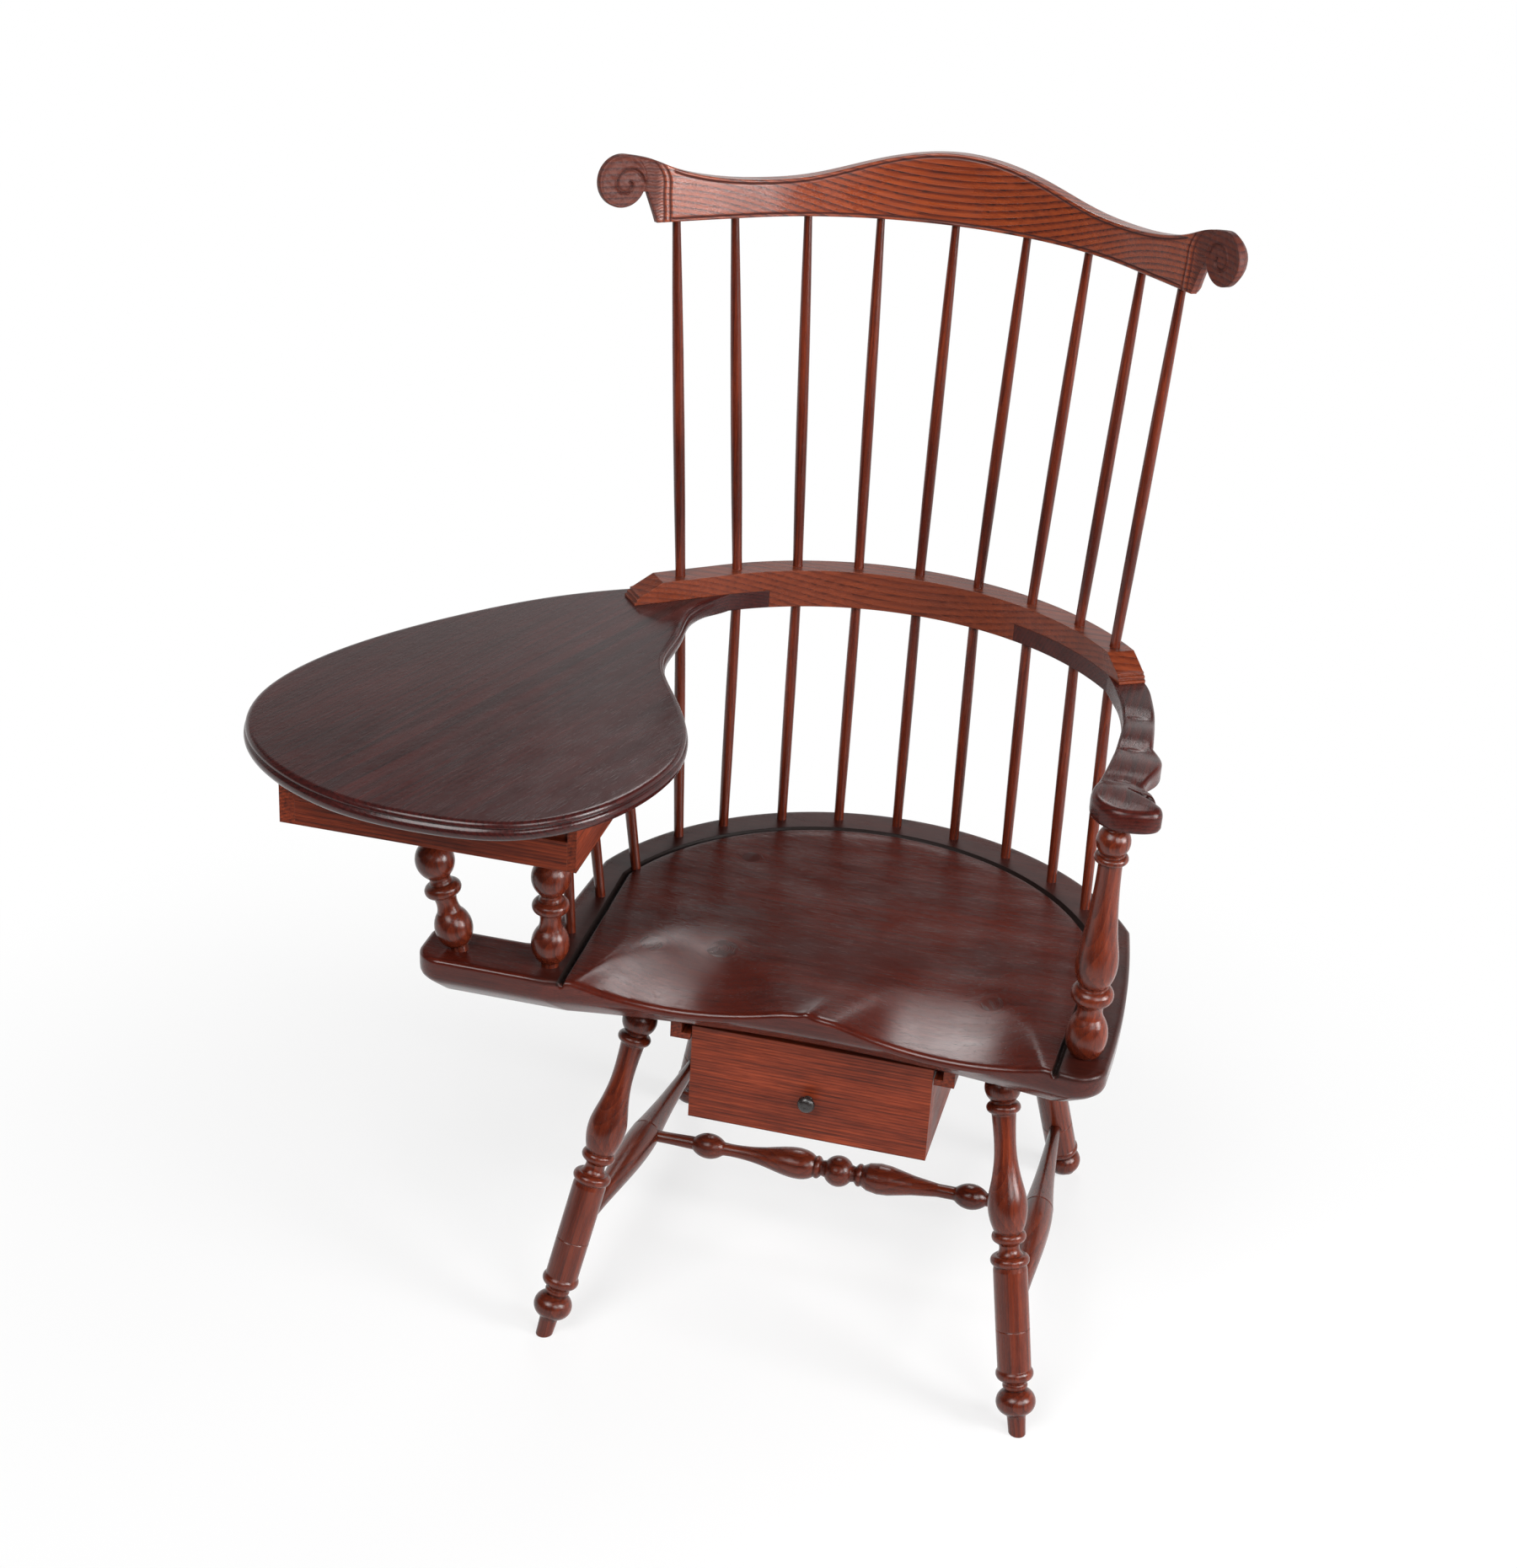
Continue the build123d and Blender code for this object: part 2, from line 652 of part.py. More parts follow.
for low, mid, high in spindles:
    right_arm = right_arm - spindle_hole(low, mid, high)
for socket in upper_sockets:
    right_arm = right_arm - socket
save(right_arm, "arm_right")

# the tablet and the left arm are one board
arm_outer_from = 36.0         # the board's outer edge leaves the rail's arc at this angle
tablet_inner = arc_points(rail_inner, -seam_left - 0.02, -straight_from, rail_centre)
tablet_outer = arc_points(rail_outer, -seam_left - 0.02, -arm_outer_from, rail_centre)
tablet_outline = make_face([
    ThreePointArc(*tablet_inner),
    Spline(tablet_inner[2], (-211.0, 84.0), (-208.0, 30.0), (-205.0, -40.0), (-176.0, -108.0),
           (-144.0, -174.0), (-130.0, -240.0), (-142.0, -316.0), (-178.0, -384.0),
           (-234.0, -428.0), (-304.0, -441.0), (-396.0, -431.0), (-467.0, -397.0),
           (-524.0, -338.0), (-547.0, -262.0), (-536.0, -195.0), (-500.0, -112.0),
           (-431.0, -12.0), (-370.0, 55.0), (-302.0, 110.0), tablet_outer[2]),
    ThreePointArc(tablet_outer[2], tablet_outer[1], tablet_outer[0]),
    Line(tablet_outer[0], tablet_inner[0]),
])
tablet = Pos(0, 0, arm_under) * extrude(tablet_outline, arm_thick - face_gap)
for low, mid, high in spindles:
    tablet = tablet - spindle_hole(low, mid, high)
for socket in upper_sockets:
    tablet = tablet - socket
rim = [e for e in tablet.edges().filter_by(GeomType.BSPLINE) if e.length > reach]
tablet = fillet(rim, tablet_round)
save(tablet, "tablet")

# ---------------------------------------------------------------- crest
bend = polar(crest_radius, crest_bend_end, (0, crest_centre))
ear_dir = (cos(radians(crest_bend_end)), -sin(radians(crest_bend_end)))
half_thick = crest_thick / 2
notch_z = crest_bottom + notch_high


def ear_point(run_out, offset):
    """Plan point on the right-hand straight part, offset outwards."""
    normal = (sin(radians(crest_bend_end)), cos(radians(crest_bend_end)))
    return (bend[0] + ear_dir[0] * run_out + normal[0] * offset,
            bend[1] + ear_dir[1] * run_out + normal[1] * offset)


def crest_band(run_out, low, high):
    right = [ear_point(0, half_thick), ear_point(run_out, half_thick),
             ear_point(run_out, -half_thick), ear_point(0, -half_thick)]
    left = [(-p[0], p[1]) for p in right]
    face = make_face([
        ThreePointArc(left[0], (0, crest_centre + crest_radius + half_thick), right[0]),
        Line(right[0], right[1]),
        Line(right[1], right[2]),
        Line(right[2], right[3]),
        ThreePointArc(right[3], (0, crest_centre + crest_radius - half_thick), left[3]),
        Line(left[3], left[2]),
        Line(left[2], left[1]),
        Line(left[1], left[0]),
    ])
    return Pos(0, 0, low) * extrude(face, high - low)


# elevation of the band, as seen square from the front; the volutes close its ends
foot_x, notch_x = band_foot
top_x, top_rise = crest_top[-1]
upper_edge = [(x, crest_bottom + z) for x, z in crest_top]
upper_left = [(-x, z) for x, z in upper_edge]
crest_front = make_face([
    ThreePointArc((-foot_x, crest_low(foot_x)), (0, crest_low(0)), (foot_x, crest_low(foot_x))),
    Line((foot_x, crest_low(foot_x)), (notch_x, notch_z)),
    Line((notch_x, notch_z), (top_x, notch_z)),
    Line((top_x, notch_z), (top_x, crest_bottom + top_rise)),
    Spline(upper_edge[::-1] + upper_left[1:]),
    Line((-top_x, crest_bottom + top_rise), (-top_x, notch_z)),
    Line((-top_x, notch_z), (-notch_x, notch_z)),
    Line((-notch_x, notch_z), (-foot_x, crest_low(foot_x))),
])
crest = crest_band(volute_run, crest_bottom - 10.0, crest_bottom + 95.0)
facing_cut = Plane(origin=(0, 300, 0), x_dir=(1, 0, 0), z_dir=(0, -1, 0))
crest = crest & (facing_cut * extrude(crest_front, reach))
volute_z = crest_bottom + volute_up
for side in (-1, 1):
    centre = ear_point(volute_run, 0)
    facing = Vector(side * sin(radians(crest_bend_end)), cos(radians(crest_bend_end)), 0)
    hub = Plane(origin=(side * centre[0], centre[1], volute_z), z_dir=facing)
    scroll = hub * Cylinder(volute_radius, crest_thick)
    for radius in volute_step:
        ring = Cylinder(radius, 3.0) - Cylinder(radius - volute_cut, 3.0)
        groove = hub * Pos(0, 0, -half_thick) * ring
        scroll = scroll - groove
    crest = crest + scroll
lean = Pos(0, lean_plane_y, crest_bottom) * Rot(-crest_lean, 0, 0) * Pos(0, -lean_plane_y, -crest_bottom)
set_round = Pos(0, back_axis, 0) * Rot(0, 0, -back_turn) * Pos(0, -back_axis, 0)
crest = set_round * lean * crest
for low, mid, high in spindles:
    crest = crest - rod(mid, high, spindle_tip + fit, before=-250.0, after=spindle_tenon)
save(crest, "crest_rail")

# ---------------------------------------------------------------- drawers


def dovetail(z0, z1, x0, depth, flare):
    """One tail that widens towards its end; x0 is its root, it runs to -X."""
    face = make_face(Polyline(
        (x0, z0), (x0 - depth, z0 - flare), (x0 - depth, z1 + flare), (x0, z1), (x0, z0)))
    return Plane.XZ * extrude(face, side_board, both=True)


def drawer_boards(length, width, height, tails, side_thick=side_board):
    """Boards of a drawer that lies along X with its front board at x = 0.

    The origin is the lower outer corner of the front board in the middle of
    its width; the drawer runs towards +X.
    """
    lap = front_board - 10.0
    half = width / 2
    pitch = height / tails
    tail_wide = pitch * 0.5
    flare = tail_wide * 0.14
    front = slab(0, front_board, -half, half, 0, height)
    back = slab(length - side_thick, length, -half, half, 0, height)
    sides = {}
    for name, y0 in (("near", -half), ("far", half - side_thick)):
        board = slab(front_board, length - side_thick, y0, y0 + side_thick, 0, height)
        for k in range(tails):
            z0 = pitch * (k + 0.5) - tail_wide / 2
            tail = dovetail(z0, z0 + tail_wide, front_board, front_board - lap, flare)
            rear = mirror(dovetail(z0, z0 + tail_wide, 0, side_thick, flare), Plane.YZ)
            rear = Pos(length - side_thick, 0, 0) * rear
            strip = slab(-5, length + 5, y0, y0 + side_thick, -5, height + 5)
            board = board + (tail & strip) + (rear & strip)
        front = front - board
        back = back - board
        sides[name] = board
    inner = half - side_thick + groove_deep
    floor = slab(front_board - groove_deep, length - side_thick + groove_deep,
                 -inner + face_gap, inner - face_gap, bottom_up, bottom_up + bottom_board)
    room = slab(front_board - groove_deep, length - side_thick + groove_deep,
                -inner, inner, bottom_up - face_gap, bottom_up + bottom_board + face_gap)
    front = front - room
    back = back - room
    for name in sides:
        sides[name] = sides[name] - room
    return front, back, sides, floor


def knob(at, direction):
    """Small mushroom knob whose shank sits in the front board."""
    stem = [(2.6, -9.0), (2.6, 0.0), (4.6, 0.0), (3.4, 6.0, -0.8), (knob_radius, 9.0, -1.0),
            (knob_radius * 0.98, 11.0), (0.8, 14.5, 1.6)]
    return turned(stem, at, tuple(a + d for a, d in zip(at, direction)))


# under-seat drawer: built along X, then turned so that its front faces -Y
seat_drawer_high = seat_drawer_top - seat_drawer_bottom
front, back, sides, floor = drawer_boards(
    seat_drawer_depth, 2 * seat_drawer_half, seat_drawer_high, 4)
place = Pos(0, seat_drawer_front, seat_drawer_bottom) * Rot(0, 0, 90)
seat_knob_z = seat_drawer_bottom + seat_drawer_high * 0.43
shank = rod((0, seat_drawer_front + 9.5, seat_knob_z), (0, seat_drawer_front - 1, seat_knob_z), 2.6 + fit)
save(place * front - shank, "seat_drawer_front")
save(place * back, "seat_drawer_back")
save(place * sides["near"], "seat_drawer_side_right")
save(place * sides["far"], "seat_drawer_side_left")
save(place * floor, "seat_drawer_bottom")
save(knob((0, seat_drawer_front, seat_knob_z), (0, -1, 0)), "seat_drawer_knob")
cleat_from = seat_drawer_front + 12.0
cleat_to = seat_drawer_front + seat_drawer_depth - 6.0
bearer_from = seat_drawer_front - 2.0
bearer_to = seat_drawer_front + seat_drawer_depth + 6.0
for side in (-1, 1):
    x0 = seat_drawer_half + face_gap
    cleat = slab(x0, x0 + cleat_wide, cleat_from, cleat_to,
                 seat_drawer_top - cleat_high, seat_drawer_top)
    lip_top = seat_drawer_top - cleat_high - slide_gap
    leg_x = x0 + cleat_wide + slide_gap
    bearer = slab(leg_x, leg_x + bearer_leg, bearer_from, bearer_to,
                  lip_top - bearer_foot, seat_under - face_gap)
    bearer += slab(seat_drawer_half + 1.2, leg_x + 1.0, bearer_from, bearer_to,
                   lip_top - bearer_foot, lip_top)
    name = "right" if side > 0 else "left"
    if side < 0:
        cleat = mirror(cleat, Plane.YZ)
        bearer = mirror(bearer, Plane.YZ)
    save(cleat, "seat_drawer_cleat_" + name)
    save(bearer, "seat_bearer_" + name)

# tablet drawer: its front board is at the left end
arm_drawer_long = arm_drawer_right - arm_drawer_left
arm_drawer_wide = arm_drawer_back - arm_drawer_front
arm_drawer_mid = (arm_drawer_front + arm_drawer_back) / 2
front, back, sides, floor = drawer_boards(arm_drawer_long, arm_drawer_wide, arm_drawer_high, 2)
place = Pos(arm_drawer_left, arm_drawer_mid, arm_drawer_bottom)
arm_knob_z = arm_drawer_bottom + arm_drawer_high * 0.45
shank = rod((arm_drawer_left + 9.5, arm_drawer_mid, arm_knob_z),
            (arm_drawer_left - 1, arm_drawer_mid, arm_knob_z), 2.6 + fit)
front = place * front - shank
back = place * back
hanger_from = arm_drawer_left + front_board + 2.0
hanger_to = hanger_from + hanger_long
rabbet_to = arm_drawer_right - rabbet_stop
lip_z = arm_drawer_bottom + rabbet_low + slide_gap
shelf_z = lip_z + 6.0
for name, y_face, inward in (("near", arm_drawer_front, 1), ("far", arm_drawer_back, -1)):
    y_in = y_face + inward * rabbet_deep
    groove = slab(hanger_from - slide_gap, rabbet_to, min(y_face - 1, y_in), max(y_face + 1, y_in),
                  arm_drawer_bottom + rabbet_low, arm_drawer_bottom + rabbet_low + 14.0)
    side_part = place * sides[name] - groove
    back = back - groove
    save(side_part, "tablet_drawer_side_" + ("front" if inward > 0 else "rear"))
    out = y_face - inward * slide_gap
    hang = slab(hanger_from, hanger_to, min(out, out - inward * hanger_thick),
                max(out, out - inward * hanger_thick), lip_z, arm_under - face_gap)
    tongue_in = y_in - inward * slide_gap
    hang += slab(hanger_from, hanger_to, min(out - inward, tongue_in), max(out - inward, tongue_in),
                 lip_z, shelf_z)
    save(hang, "tablet_hanger_" + ("front" if inward > 0 else "rear"))
save(front, "tablet_drawer_front")
save(back, "tablet_drawer_back")
save(place * floor, "tablet_drawer_bottom")
save(knob((arm_drawer_left, arm_drawer_mid, arm_knob_z), (-1, 0, 0)), "tablet_drawer_knob")
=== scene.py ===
import math

import bmesh
import bpy
import numpy as np
from mathutils import Matrix, Vector, kdtree, noise
from mathutils.geometry import delaunay_2d_cdt


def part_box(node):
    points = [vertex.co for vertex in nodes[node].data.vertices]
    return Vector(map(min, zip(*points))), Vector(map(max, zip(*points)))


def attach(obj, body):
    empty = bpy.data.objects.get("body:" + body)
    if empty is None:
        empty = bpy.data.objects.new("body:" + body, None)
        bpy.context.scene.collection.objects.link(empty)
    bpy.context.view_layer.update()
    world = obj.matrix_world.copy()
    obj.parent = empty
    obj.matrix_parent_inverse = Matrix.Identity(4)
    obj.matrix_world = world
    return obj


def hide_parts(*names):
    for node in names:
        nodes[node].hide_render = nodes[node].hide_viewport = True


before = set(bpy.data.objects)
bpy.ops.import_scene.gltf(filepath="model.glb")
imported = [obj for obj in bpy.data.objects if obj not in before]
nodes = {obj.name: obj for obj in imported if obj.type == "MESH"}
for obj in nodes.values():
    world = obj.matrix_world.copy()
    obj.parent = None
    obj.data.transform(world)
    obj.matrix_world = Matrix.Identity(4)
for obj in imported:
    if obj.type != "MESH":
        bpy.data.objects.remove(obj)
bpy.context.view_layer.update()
scene = bpy.context.scene
print("chair frame loaded,", len(nodes), "pieces")


# ---- camera
cameraSetup = {
    "place": (0.55857, -2.30523, 1.8129),  # metres, in the chair's own frame
    "azimuth": 13.0,  # degrees round from straight in front
    "height": 27.0,  # degrees above the horizon
    "roll": 3.4,
    "lens": 63.7,  # mm on a 36 mm wide sensor
    "shift": -0.0009,
}


def makeCamera(setup):
    az = math.radians(setup["azimuth"])
    el = math.radians(setup["height"])
    roll = math.radians(setup["roll"])
    back = Vector((math.sin(az) * math.cos(el), -math.cos(az) * math.cos(el), math.sin(el)))
    right = Vector((0, 0, 1)).cross(back).normalized()
    up = back.cross(right)
    turnedRight = math.cos(roll) * right + math.sin(roll) * up
    turnedUp = back.cross(turnedRight)
    data = bpy.data.cameras.new("studioCamera")
    data.sensor_fit = "HORIZONTAL"
    data.sensor_width = 36.0
    data.lens = setup["lens"]
    data.shift_x = setup["shift"]
    camera = bpy.data.objects.new("studioCamera", data)
    turn = Matrix((turnedRight, turnedUp, back)).transposed().to_4x4()
    camera.matrix_world = Matrix.Translation(setup["place"]) @ turn
    scene.collection.objects.link(camera)
    scene.camera = camera


makeCamera(cameraSetup)
print("camera placed")


# ---- studio: floor, white surround and soft lamps
studio = {
    "floorReach": 6.0,  # metres
    "floorFront": 1.3,  # the paper is cut off this far in front of the chair
    "floorColour": (0.86, 0.86, 0.86, 1.0),
    "whiteNear": 0.70,  # how much of the floor's own white shows under the chair
    "whiteFrom": 0.3,
    "whiteTo": 1.2,
    "room": 0.07,  # how strongly the dim room lights the chair
    "paperTop": (0.385, 0.44),  # how high and how far round the white paper stands behind
    "paperSide": (-0.1, 0.5),
}
lamps = {
    "keyLamp": {"place": (-0.8, -2.5, 3.0), "size": (1.8, 1.8), "power": 94.0},
    "fillLamp": {"place": (2.1, -2.2, 2.1), "size": (1.4, 1.4), "power": 50.0},
    "sideLamp": {"place": (2.3, -0.45, 1.25), "size": (0.8, 1.0), "power": 50.0},
    "rearLamp": {"place": (-0.22, 2.1, 2.66), "size": (0.95, 0.78), "power": 20.0},
}


def makeNode(tree, kind, **settings):
    node = tree.nodes.new(kind)
    for key, value in settings.items():
        setattr(node, key, value)
    return node


def makeStudio():
    scene.view_settings.view_transform = "Standard"
    reach = studio["floorReach"]
    mesh = bpy.data.meshes.new("studioFloor")
    front = -studio["floorFront"]
    corners = [(-reach, front, 0), (reach, front, 0), (reach, reach, 0), (-reach, reach, 0)]
    mesh.from_pydata([Vector(c) for c in corners], [], [(0, 1, 2, 3)])
    floor = bpy.data.objects.new("studioFloor", mesh)
    floor.location.z = -0.0005
    scene.collection.objects.link(floor)
    material = bpy.data.materials.new("paperFloor")
    material.use_nodes = True
    tree = material.node_tree
    tree.nodes.clear()
    out = makeNode(tree, "ShaderNodeOutputMaterial")
    mix = makeNode(tree, "ShaderNodeMixShader")
    diffuse = makeNode(tree, "ShaderNodeBsdfDiffuse")
    diffuse.inputs["Color"].default_value = studio["floorColour"]
    glow = makeNode(tree, "ShaderNodeEmission")
    path = makeNode(tree, "ShaderNodeLightPath")
    coords = makeNode(tree, "ShaderNodeTexCoord")
    length = makeNode(tree, "ShaderNodeVectorMath", operation="LENGTH")
    fade = makeNode(tree, "ShaderNodeMapRange", interpolation_type="SMOOTHSTEP")
    fade.inputs["From Min"].default_value = studio["whiteFrom"]
    fade.inputs["From Max"].default_value = studio["whiteTo"]
    fade.inputs["To Min"].default_value = studio["whiteNear"]
    fade.inputs["To Max"].default_value = 1.0
    seen = seenByEye(tree, path)
    share = makeNode(tree, "ShaderNodeMath", operation="MULTIPLY")
    tree.links.new(coords.outputs["Object"], length.inputs[0])
    tree.links.new(length.outputs["Value"], fade.inputs["Value"])
    tree.links.new(seen, share.inputs[0])
    tree.links.new(fade.outputs["Result"], share.inputs[1])
    tree.links.new(share.outputs[0], mix.inputs["Fac"])
    tree.links.new(diffuse.outputs[0], mix.inputs[1])
    tree.links.new(glow.outputs[0], mix.inputs[2])
    tree.links.new(mix.outputs[0], out.inputs["Surface"])
    mesh.materials.append(material)

    world = bpy.data.worlds.new("whiteRoom")
    scene.world = world
    world.use_nodes = True
    tree = world.node_tree
    tree.nodes.clear()
    out = makeNode(tree, "ShaderNodeOutputWorld")
    mix = makeNode(tree, "ShaderNodeMixShader")
    soft = makeNode(tree, "ShaderNodeBackground")
    around = makeNode(tree, "ShaderNodeTexCoord")
    split = makeNode(tree, "ShaderNodeSeparateXYZ")
    tree.links.new(around.outputs["Generated"], split.inputs[0])
    rise = makeNode(tree, "ShaderNodeMapRange", interpolation_type="SMOOTHSTEP")
    side = makeNode(tree, "ShaderNodeMapRange", interpolation_type="SMOOTHSTEP")
    for shade, limits, ends in ((rise, studio["paperTop"], (1.0, 0.0)), (side, studio["paperSide"], (0.0, 1.0))):
        shade.inputs["From Min"].default_value, shade.inputs["From Max"].default_value = limits
        shade.inputs["To Min"].default_value, shade.inputs["To Max"].default_value = ends
    tree.links.new(split.outputs["Z"], rise.inputs["Value"])
    tree.links.new(split.outputs["Y"], side.inputs["Value"])
    both = makeNode(tree, "ShaderNodeMath", operation="MULTIPLY")
    tree.links.new(rise.outputs["Result"], both.inputs[0])
    tree.links.new(side.outputs["Result"], both.inputs[1])
    white = makeNode(tree, "ShaderNodeBackground")
    path = makeNode(tree, "ShaderNodeLightPath")
    for shade, strength in ((soft, studio["room"]), (white, 1.0)):
        shade.inputs["Color"].default_value = (1, 1, 1, 1)
        shade.inputs["Strength"].default_value = strength
    # mirror and clear-glass rays see the white paper where it stands, the camera sees it everywhere
    bent = makeNode(tree, "ShaderNodeMath", operation="ADD", use_clamp=True)
    tree.links.new(path.outputs["Is Glossy Ray"], bent.inputs[0])
    tree.links.new(path.outputs["Is Transmission Ray"], bent.inputs[1])
    onPaper = makeNode(tree, "ShaderNodeMath", operation="MULTIPLY")
    tree.links.new(bent.outputs[0], onPaper.inputs[0])
    tree.links.new(both.outputs[0], onPaper.inputs[1])
    shown = makeNode(tree, "ShaderNodeMath", operation="ADD", use_clamp=True)
    tree.links.new(path.outputs["Is Camera Ray"], shown.inputs[0])
    tree.links.new(onPaper.outputs[0], shown.inputs[1])
    tree.links.new(shown.outputs[0], mix.inputs["Fac"])
    tree.links.new(soft.outputs[0], mix.inputs[1])
    tree.links.new(white.outputs[0], mix.inputs[2])
    tree.links.new(mix.outputs[0], out.inputs["Surface"])

    for name, lamp in lamps.items():
        data = bpy.data.lights.new(name, "AREA")
        data.shape = "RECTANGLE"
        data.size, data.size_y = lamp["size"]
        data.energy = lamp["power"]
        light = bpy.data.objects.new(name, data)
        light.location = lamp["place"]
        aim = Vector((0, 0, 0.55)) - light.location
        light.rotation_euler = aim.to_track_quat("-Z", "Y").to_euler()
        scene.collection.objects.link(light)


def seenByEye(tree, path):
    # camera, mirror and clear-glass rays all see the white paper
    total = makeNode(tree, "ShaderNodeMath", operation="ADD")
    capped = makeNode(tree, "ShaderNodeMath", operation="ADD", use_clamp=True)
    tree.links.new(path.outputs["Is Camera Ray"], total.inputs[0])
    tree.links.new(path.outputs["Is Glossy Ray"], total.inputs[1])
    tree.links.new(total.outputs[0], capped.inputs[0])
    tree.links.new(path.outputs["Is Transmission Ray"], capped.inputs[1])
    return capped.outputs[0]


makeStudio()
print("studio built")


# ---- wood
def woodMaterial(name, look, along=(1, 0, 0), start=(0, 0, 0), pith=(0.03, 0.05)):
    # along is the grain's direction, start a point on the board, pith the heart's offset from it
    direction = Vector(along).normalized()
    helper = Vector((0, 0, 1)) if abs(direction.z) < 0.9 else Vector((0, 1, 0))
    side = helper.cross(direction).normalized()
    across = direction.cross(side)
    rows = Matrix((direction, side, across))
    material = bpy.data.materials.new(name)
    material.use_nodes = True
    tree = material.node_tree
    tree.nodes.clear()
    link = tree.links.new
    out = makeNode(tree, "ShaderNodeOutputMaterial")
    skin = makeNode(tree, "ShaderNodeBsdfPrincipled")
    skin.inputs["Coat Weight"].default_value = look["coat"]
    skin.inputs["Coat Roughness"].default_value = look["coatRoughness"]
    link(skin.outputs[0], out.inputs["Surface"])

    coords = makeNode(tree, "ShaderNodeTexCoord")
    place = makeNode(tree, "ShaderNodeMapping", vector_type="POINT")
    place.inputs["Rotation"].default_value = rows.to_euler("XYZ")
    place.inputs["Location"].default_value = -(rows @ Vector(start))
    link(coords.outputs["Object"], place.inputs["Vector"])

    def stretched(scale, shift=(0, 0, 0)):
        node = makeNode(tree, "ShaderNodeMapping", vector_type="POINT")
        node.inputs["Scale"].default_value = scale
        node.inputs["Location"].default_value = shift
        link(grainPlace, node.inputs["Vector"])
        return node.outputs["Vector"]

    def noiseOf(vector, scale, detail, rough=0.55, warp=0.0):
        node = makeNode(tree, "ShaderNodeTexNoise")
        node.inputs["Scale"].default_value = scale
        node.inputs["Detail"].default_value = detail
        node.inputs["Roughness"].default_value = rough
        node.inputs["Distortion"].default_value = warp
        link(vector, node.inputs["Vector"])
        return node.outputs["Fac"]

    def ranged(value, low, high, toLow=0.0, toHigh=1.0):
        node = makeNode(tree, "ShaderNodeMapRange")
        node.inputs["From Min"].default_value = low
        node.inputs["From Max"].default_value = high
        node.inputs["To Min"].default_value = toLow
        node.inputs["To Max"].default_value = toHigh
        link(value, node.inputs["Value"])
        return node.outputs["Result"]

    def mathOf(operation, a, b):
        node = makeNode(tree, "ShaderNodeMath", operation=operation)
        for socket, value in zip(node.inputs, (a, b)):
            if isinstance(value, (int, float)):
                socket.default_value = value
            else:
                link(value, socket)
        return node.outputs[0]

    def mixed(blend, factor, a, b):
        node = makeNode(tree, "ShaderNodeMix", data_type="RGBA", blend_type=blend)
        for socket, value in ((node.inputs[0], factor), (node.inputs[6], a), (node.inputs[7], b)):
            if isinstance(value, (int, float)):
                socket.default_value = value
            elif isinstance(value, tuple):
                socket.default_value = (*value, 1.0)
            else:
                link(value, socket)
        return node.outputs[2]

    # the grain runs round each knot as water runs round a post
    knotTone = None
    grainPlace = place.outputs["Vector"]

    def vectorOf(operation, a, b):
        node = makeNode(tree, "ShaderNodeVectorMath", operation=operation)
        link(a, node.inputs[0])
        target = node.inputs["Scale"] if operation == "SCALE" else node.inputs[1]
        if isinstance(b, tuple):
            target.default_value = b
        else:
            link(b, target)
        return node

    for x, y, size in look["knots"]:
        flat = vectorOf("MULTIPLY", vectorOf("SUBTRACT", place.outputs["Vector"], (x, y, 0.0)).outputs[0], (1, 1, 0))
        away = makeNode(tree, "ShaderNodeVectorMath", operation="LENGTH")
        link(flat.outputs[0], away.inputs[0])
        far = away.outputs["Value"]
        near = mathOf("MINIMUM", mathOf("DIVIDE", size * size, mathOf("MULTIPLY", far, far)), 1.0)
        aside = vectorOf("MULTIPLY", flat.outputs[0], (0.0, -1.0, 0.0))
        grainPlace = vectorOf("ADD", grainPlace, vectorOf("SCALE", aside.outputs[0], near).outputs[0]).outputs[0]
        core = mathOf("MULTIPLY", ranged(far, size * 0.85, size * 1.05, 1.0, 0.0),
                      ranged(mathOf("SINE", mathOf("MULTIPLY", far, 2600.0), 0.0), -1.0, 1.0, 0.45, 1.0))
        knotTone = core if knotTone is None else mathOf("ADD", knotTone, core)

    # yearly rings round the heart of the log, drawn out along the grain
    rings = makeNode(tree, "ShaderNodeTexWave", wave_type="RINGS", rings_direction="X", wave_profile="SAW")
    rings.inputs["Scale"].default_value = 2 * math.pi / (20 * look["ringWidth"])
    rings.inputs["Distortion"].default_value = look["ringWander"]
    rings.inputs["Detail"].default_value = 2.0
    rings.inputs["Detail Scale"].default_value = look["wanderScale"]
    link(stretched((look["grainStretch"], 1, 1), (0, pith[0], pith[1])), rings.inputs["Vector"])
    streaks = noiseOf(stretched((9, 260, 260)), 1.0, 3.0)
    pores = noiseOf(stretched(look["poreGrid"]), 1.0, 2.0, 0.6)
    clouds = noiseOf(stretched((4, 11, 11)), 1.0, 3.0, 0.6, 0.4)

    ringTone = ranged(rings.outputs["Fac"], look["ringFrom"], 1.0, 0.0, look["ringShare"])
    streakTone = ranged(streaks, 0.3, 0.7, 0.0, look["streakShare"])
    tone = mathOf("ADD", ringTone, streakTone)
    ramp = makeNode(tree, "ShaderNodeValToRGB")
    ramp.color_ramp.elements[0].color = (*look["light"], 1)
    ramp.color_ramp.elements[1].color = (*look["dark"], 1)
    middle = ramp.color_ramp.elements.new(0.5)
    middle.color = (*look["middle"], 1)
    link(tone, ramp.inputs["Fac"])
    dashes = ranged(pores, 0.5, 0.62, 0.0, look["poreShare"])
    if look["ringPorous"]:
        dashes = mathOf("MULTIPLY", dashes, ranged(rings.outputs["Fac"], 0.45, 0.9))
    colour = mixed("MULTIPLY", dashes, ramp.outputs["Color"], look["pore"])
    colour = mixed("MULTIPLY", ranged(clouds, 0.35, 0.7, 0.0, look["cloudShare"]), colour, look["cloud"])

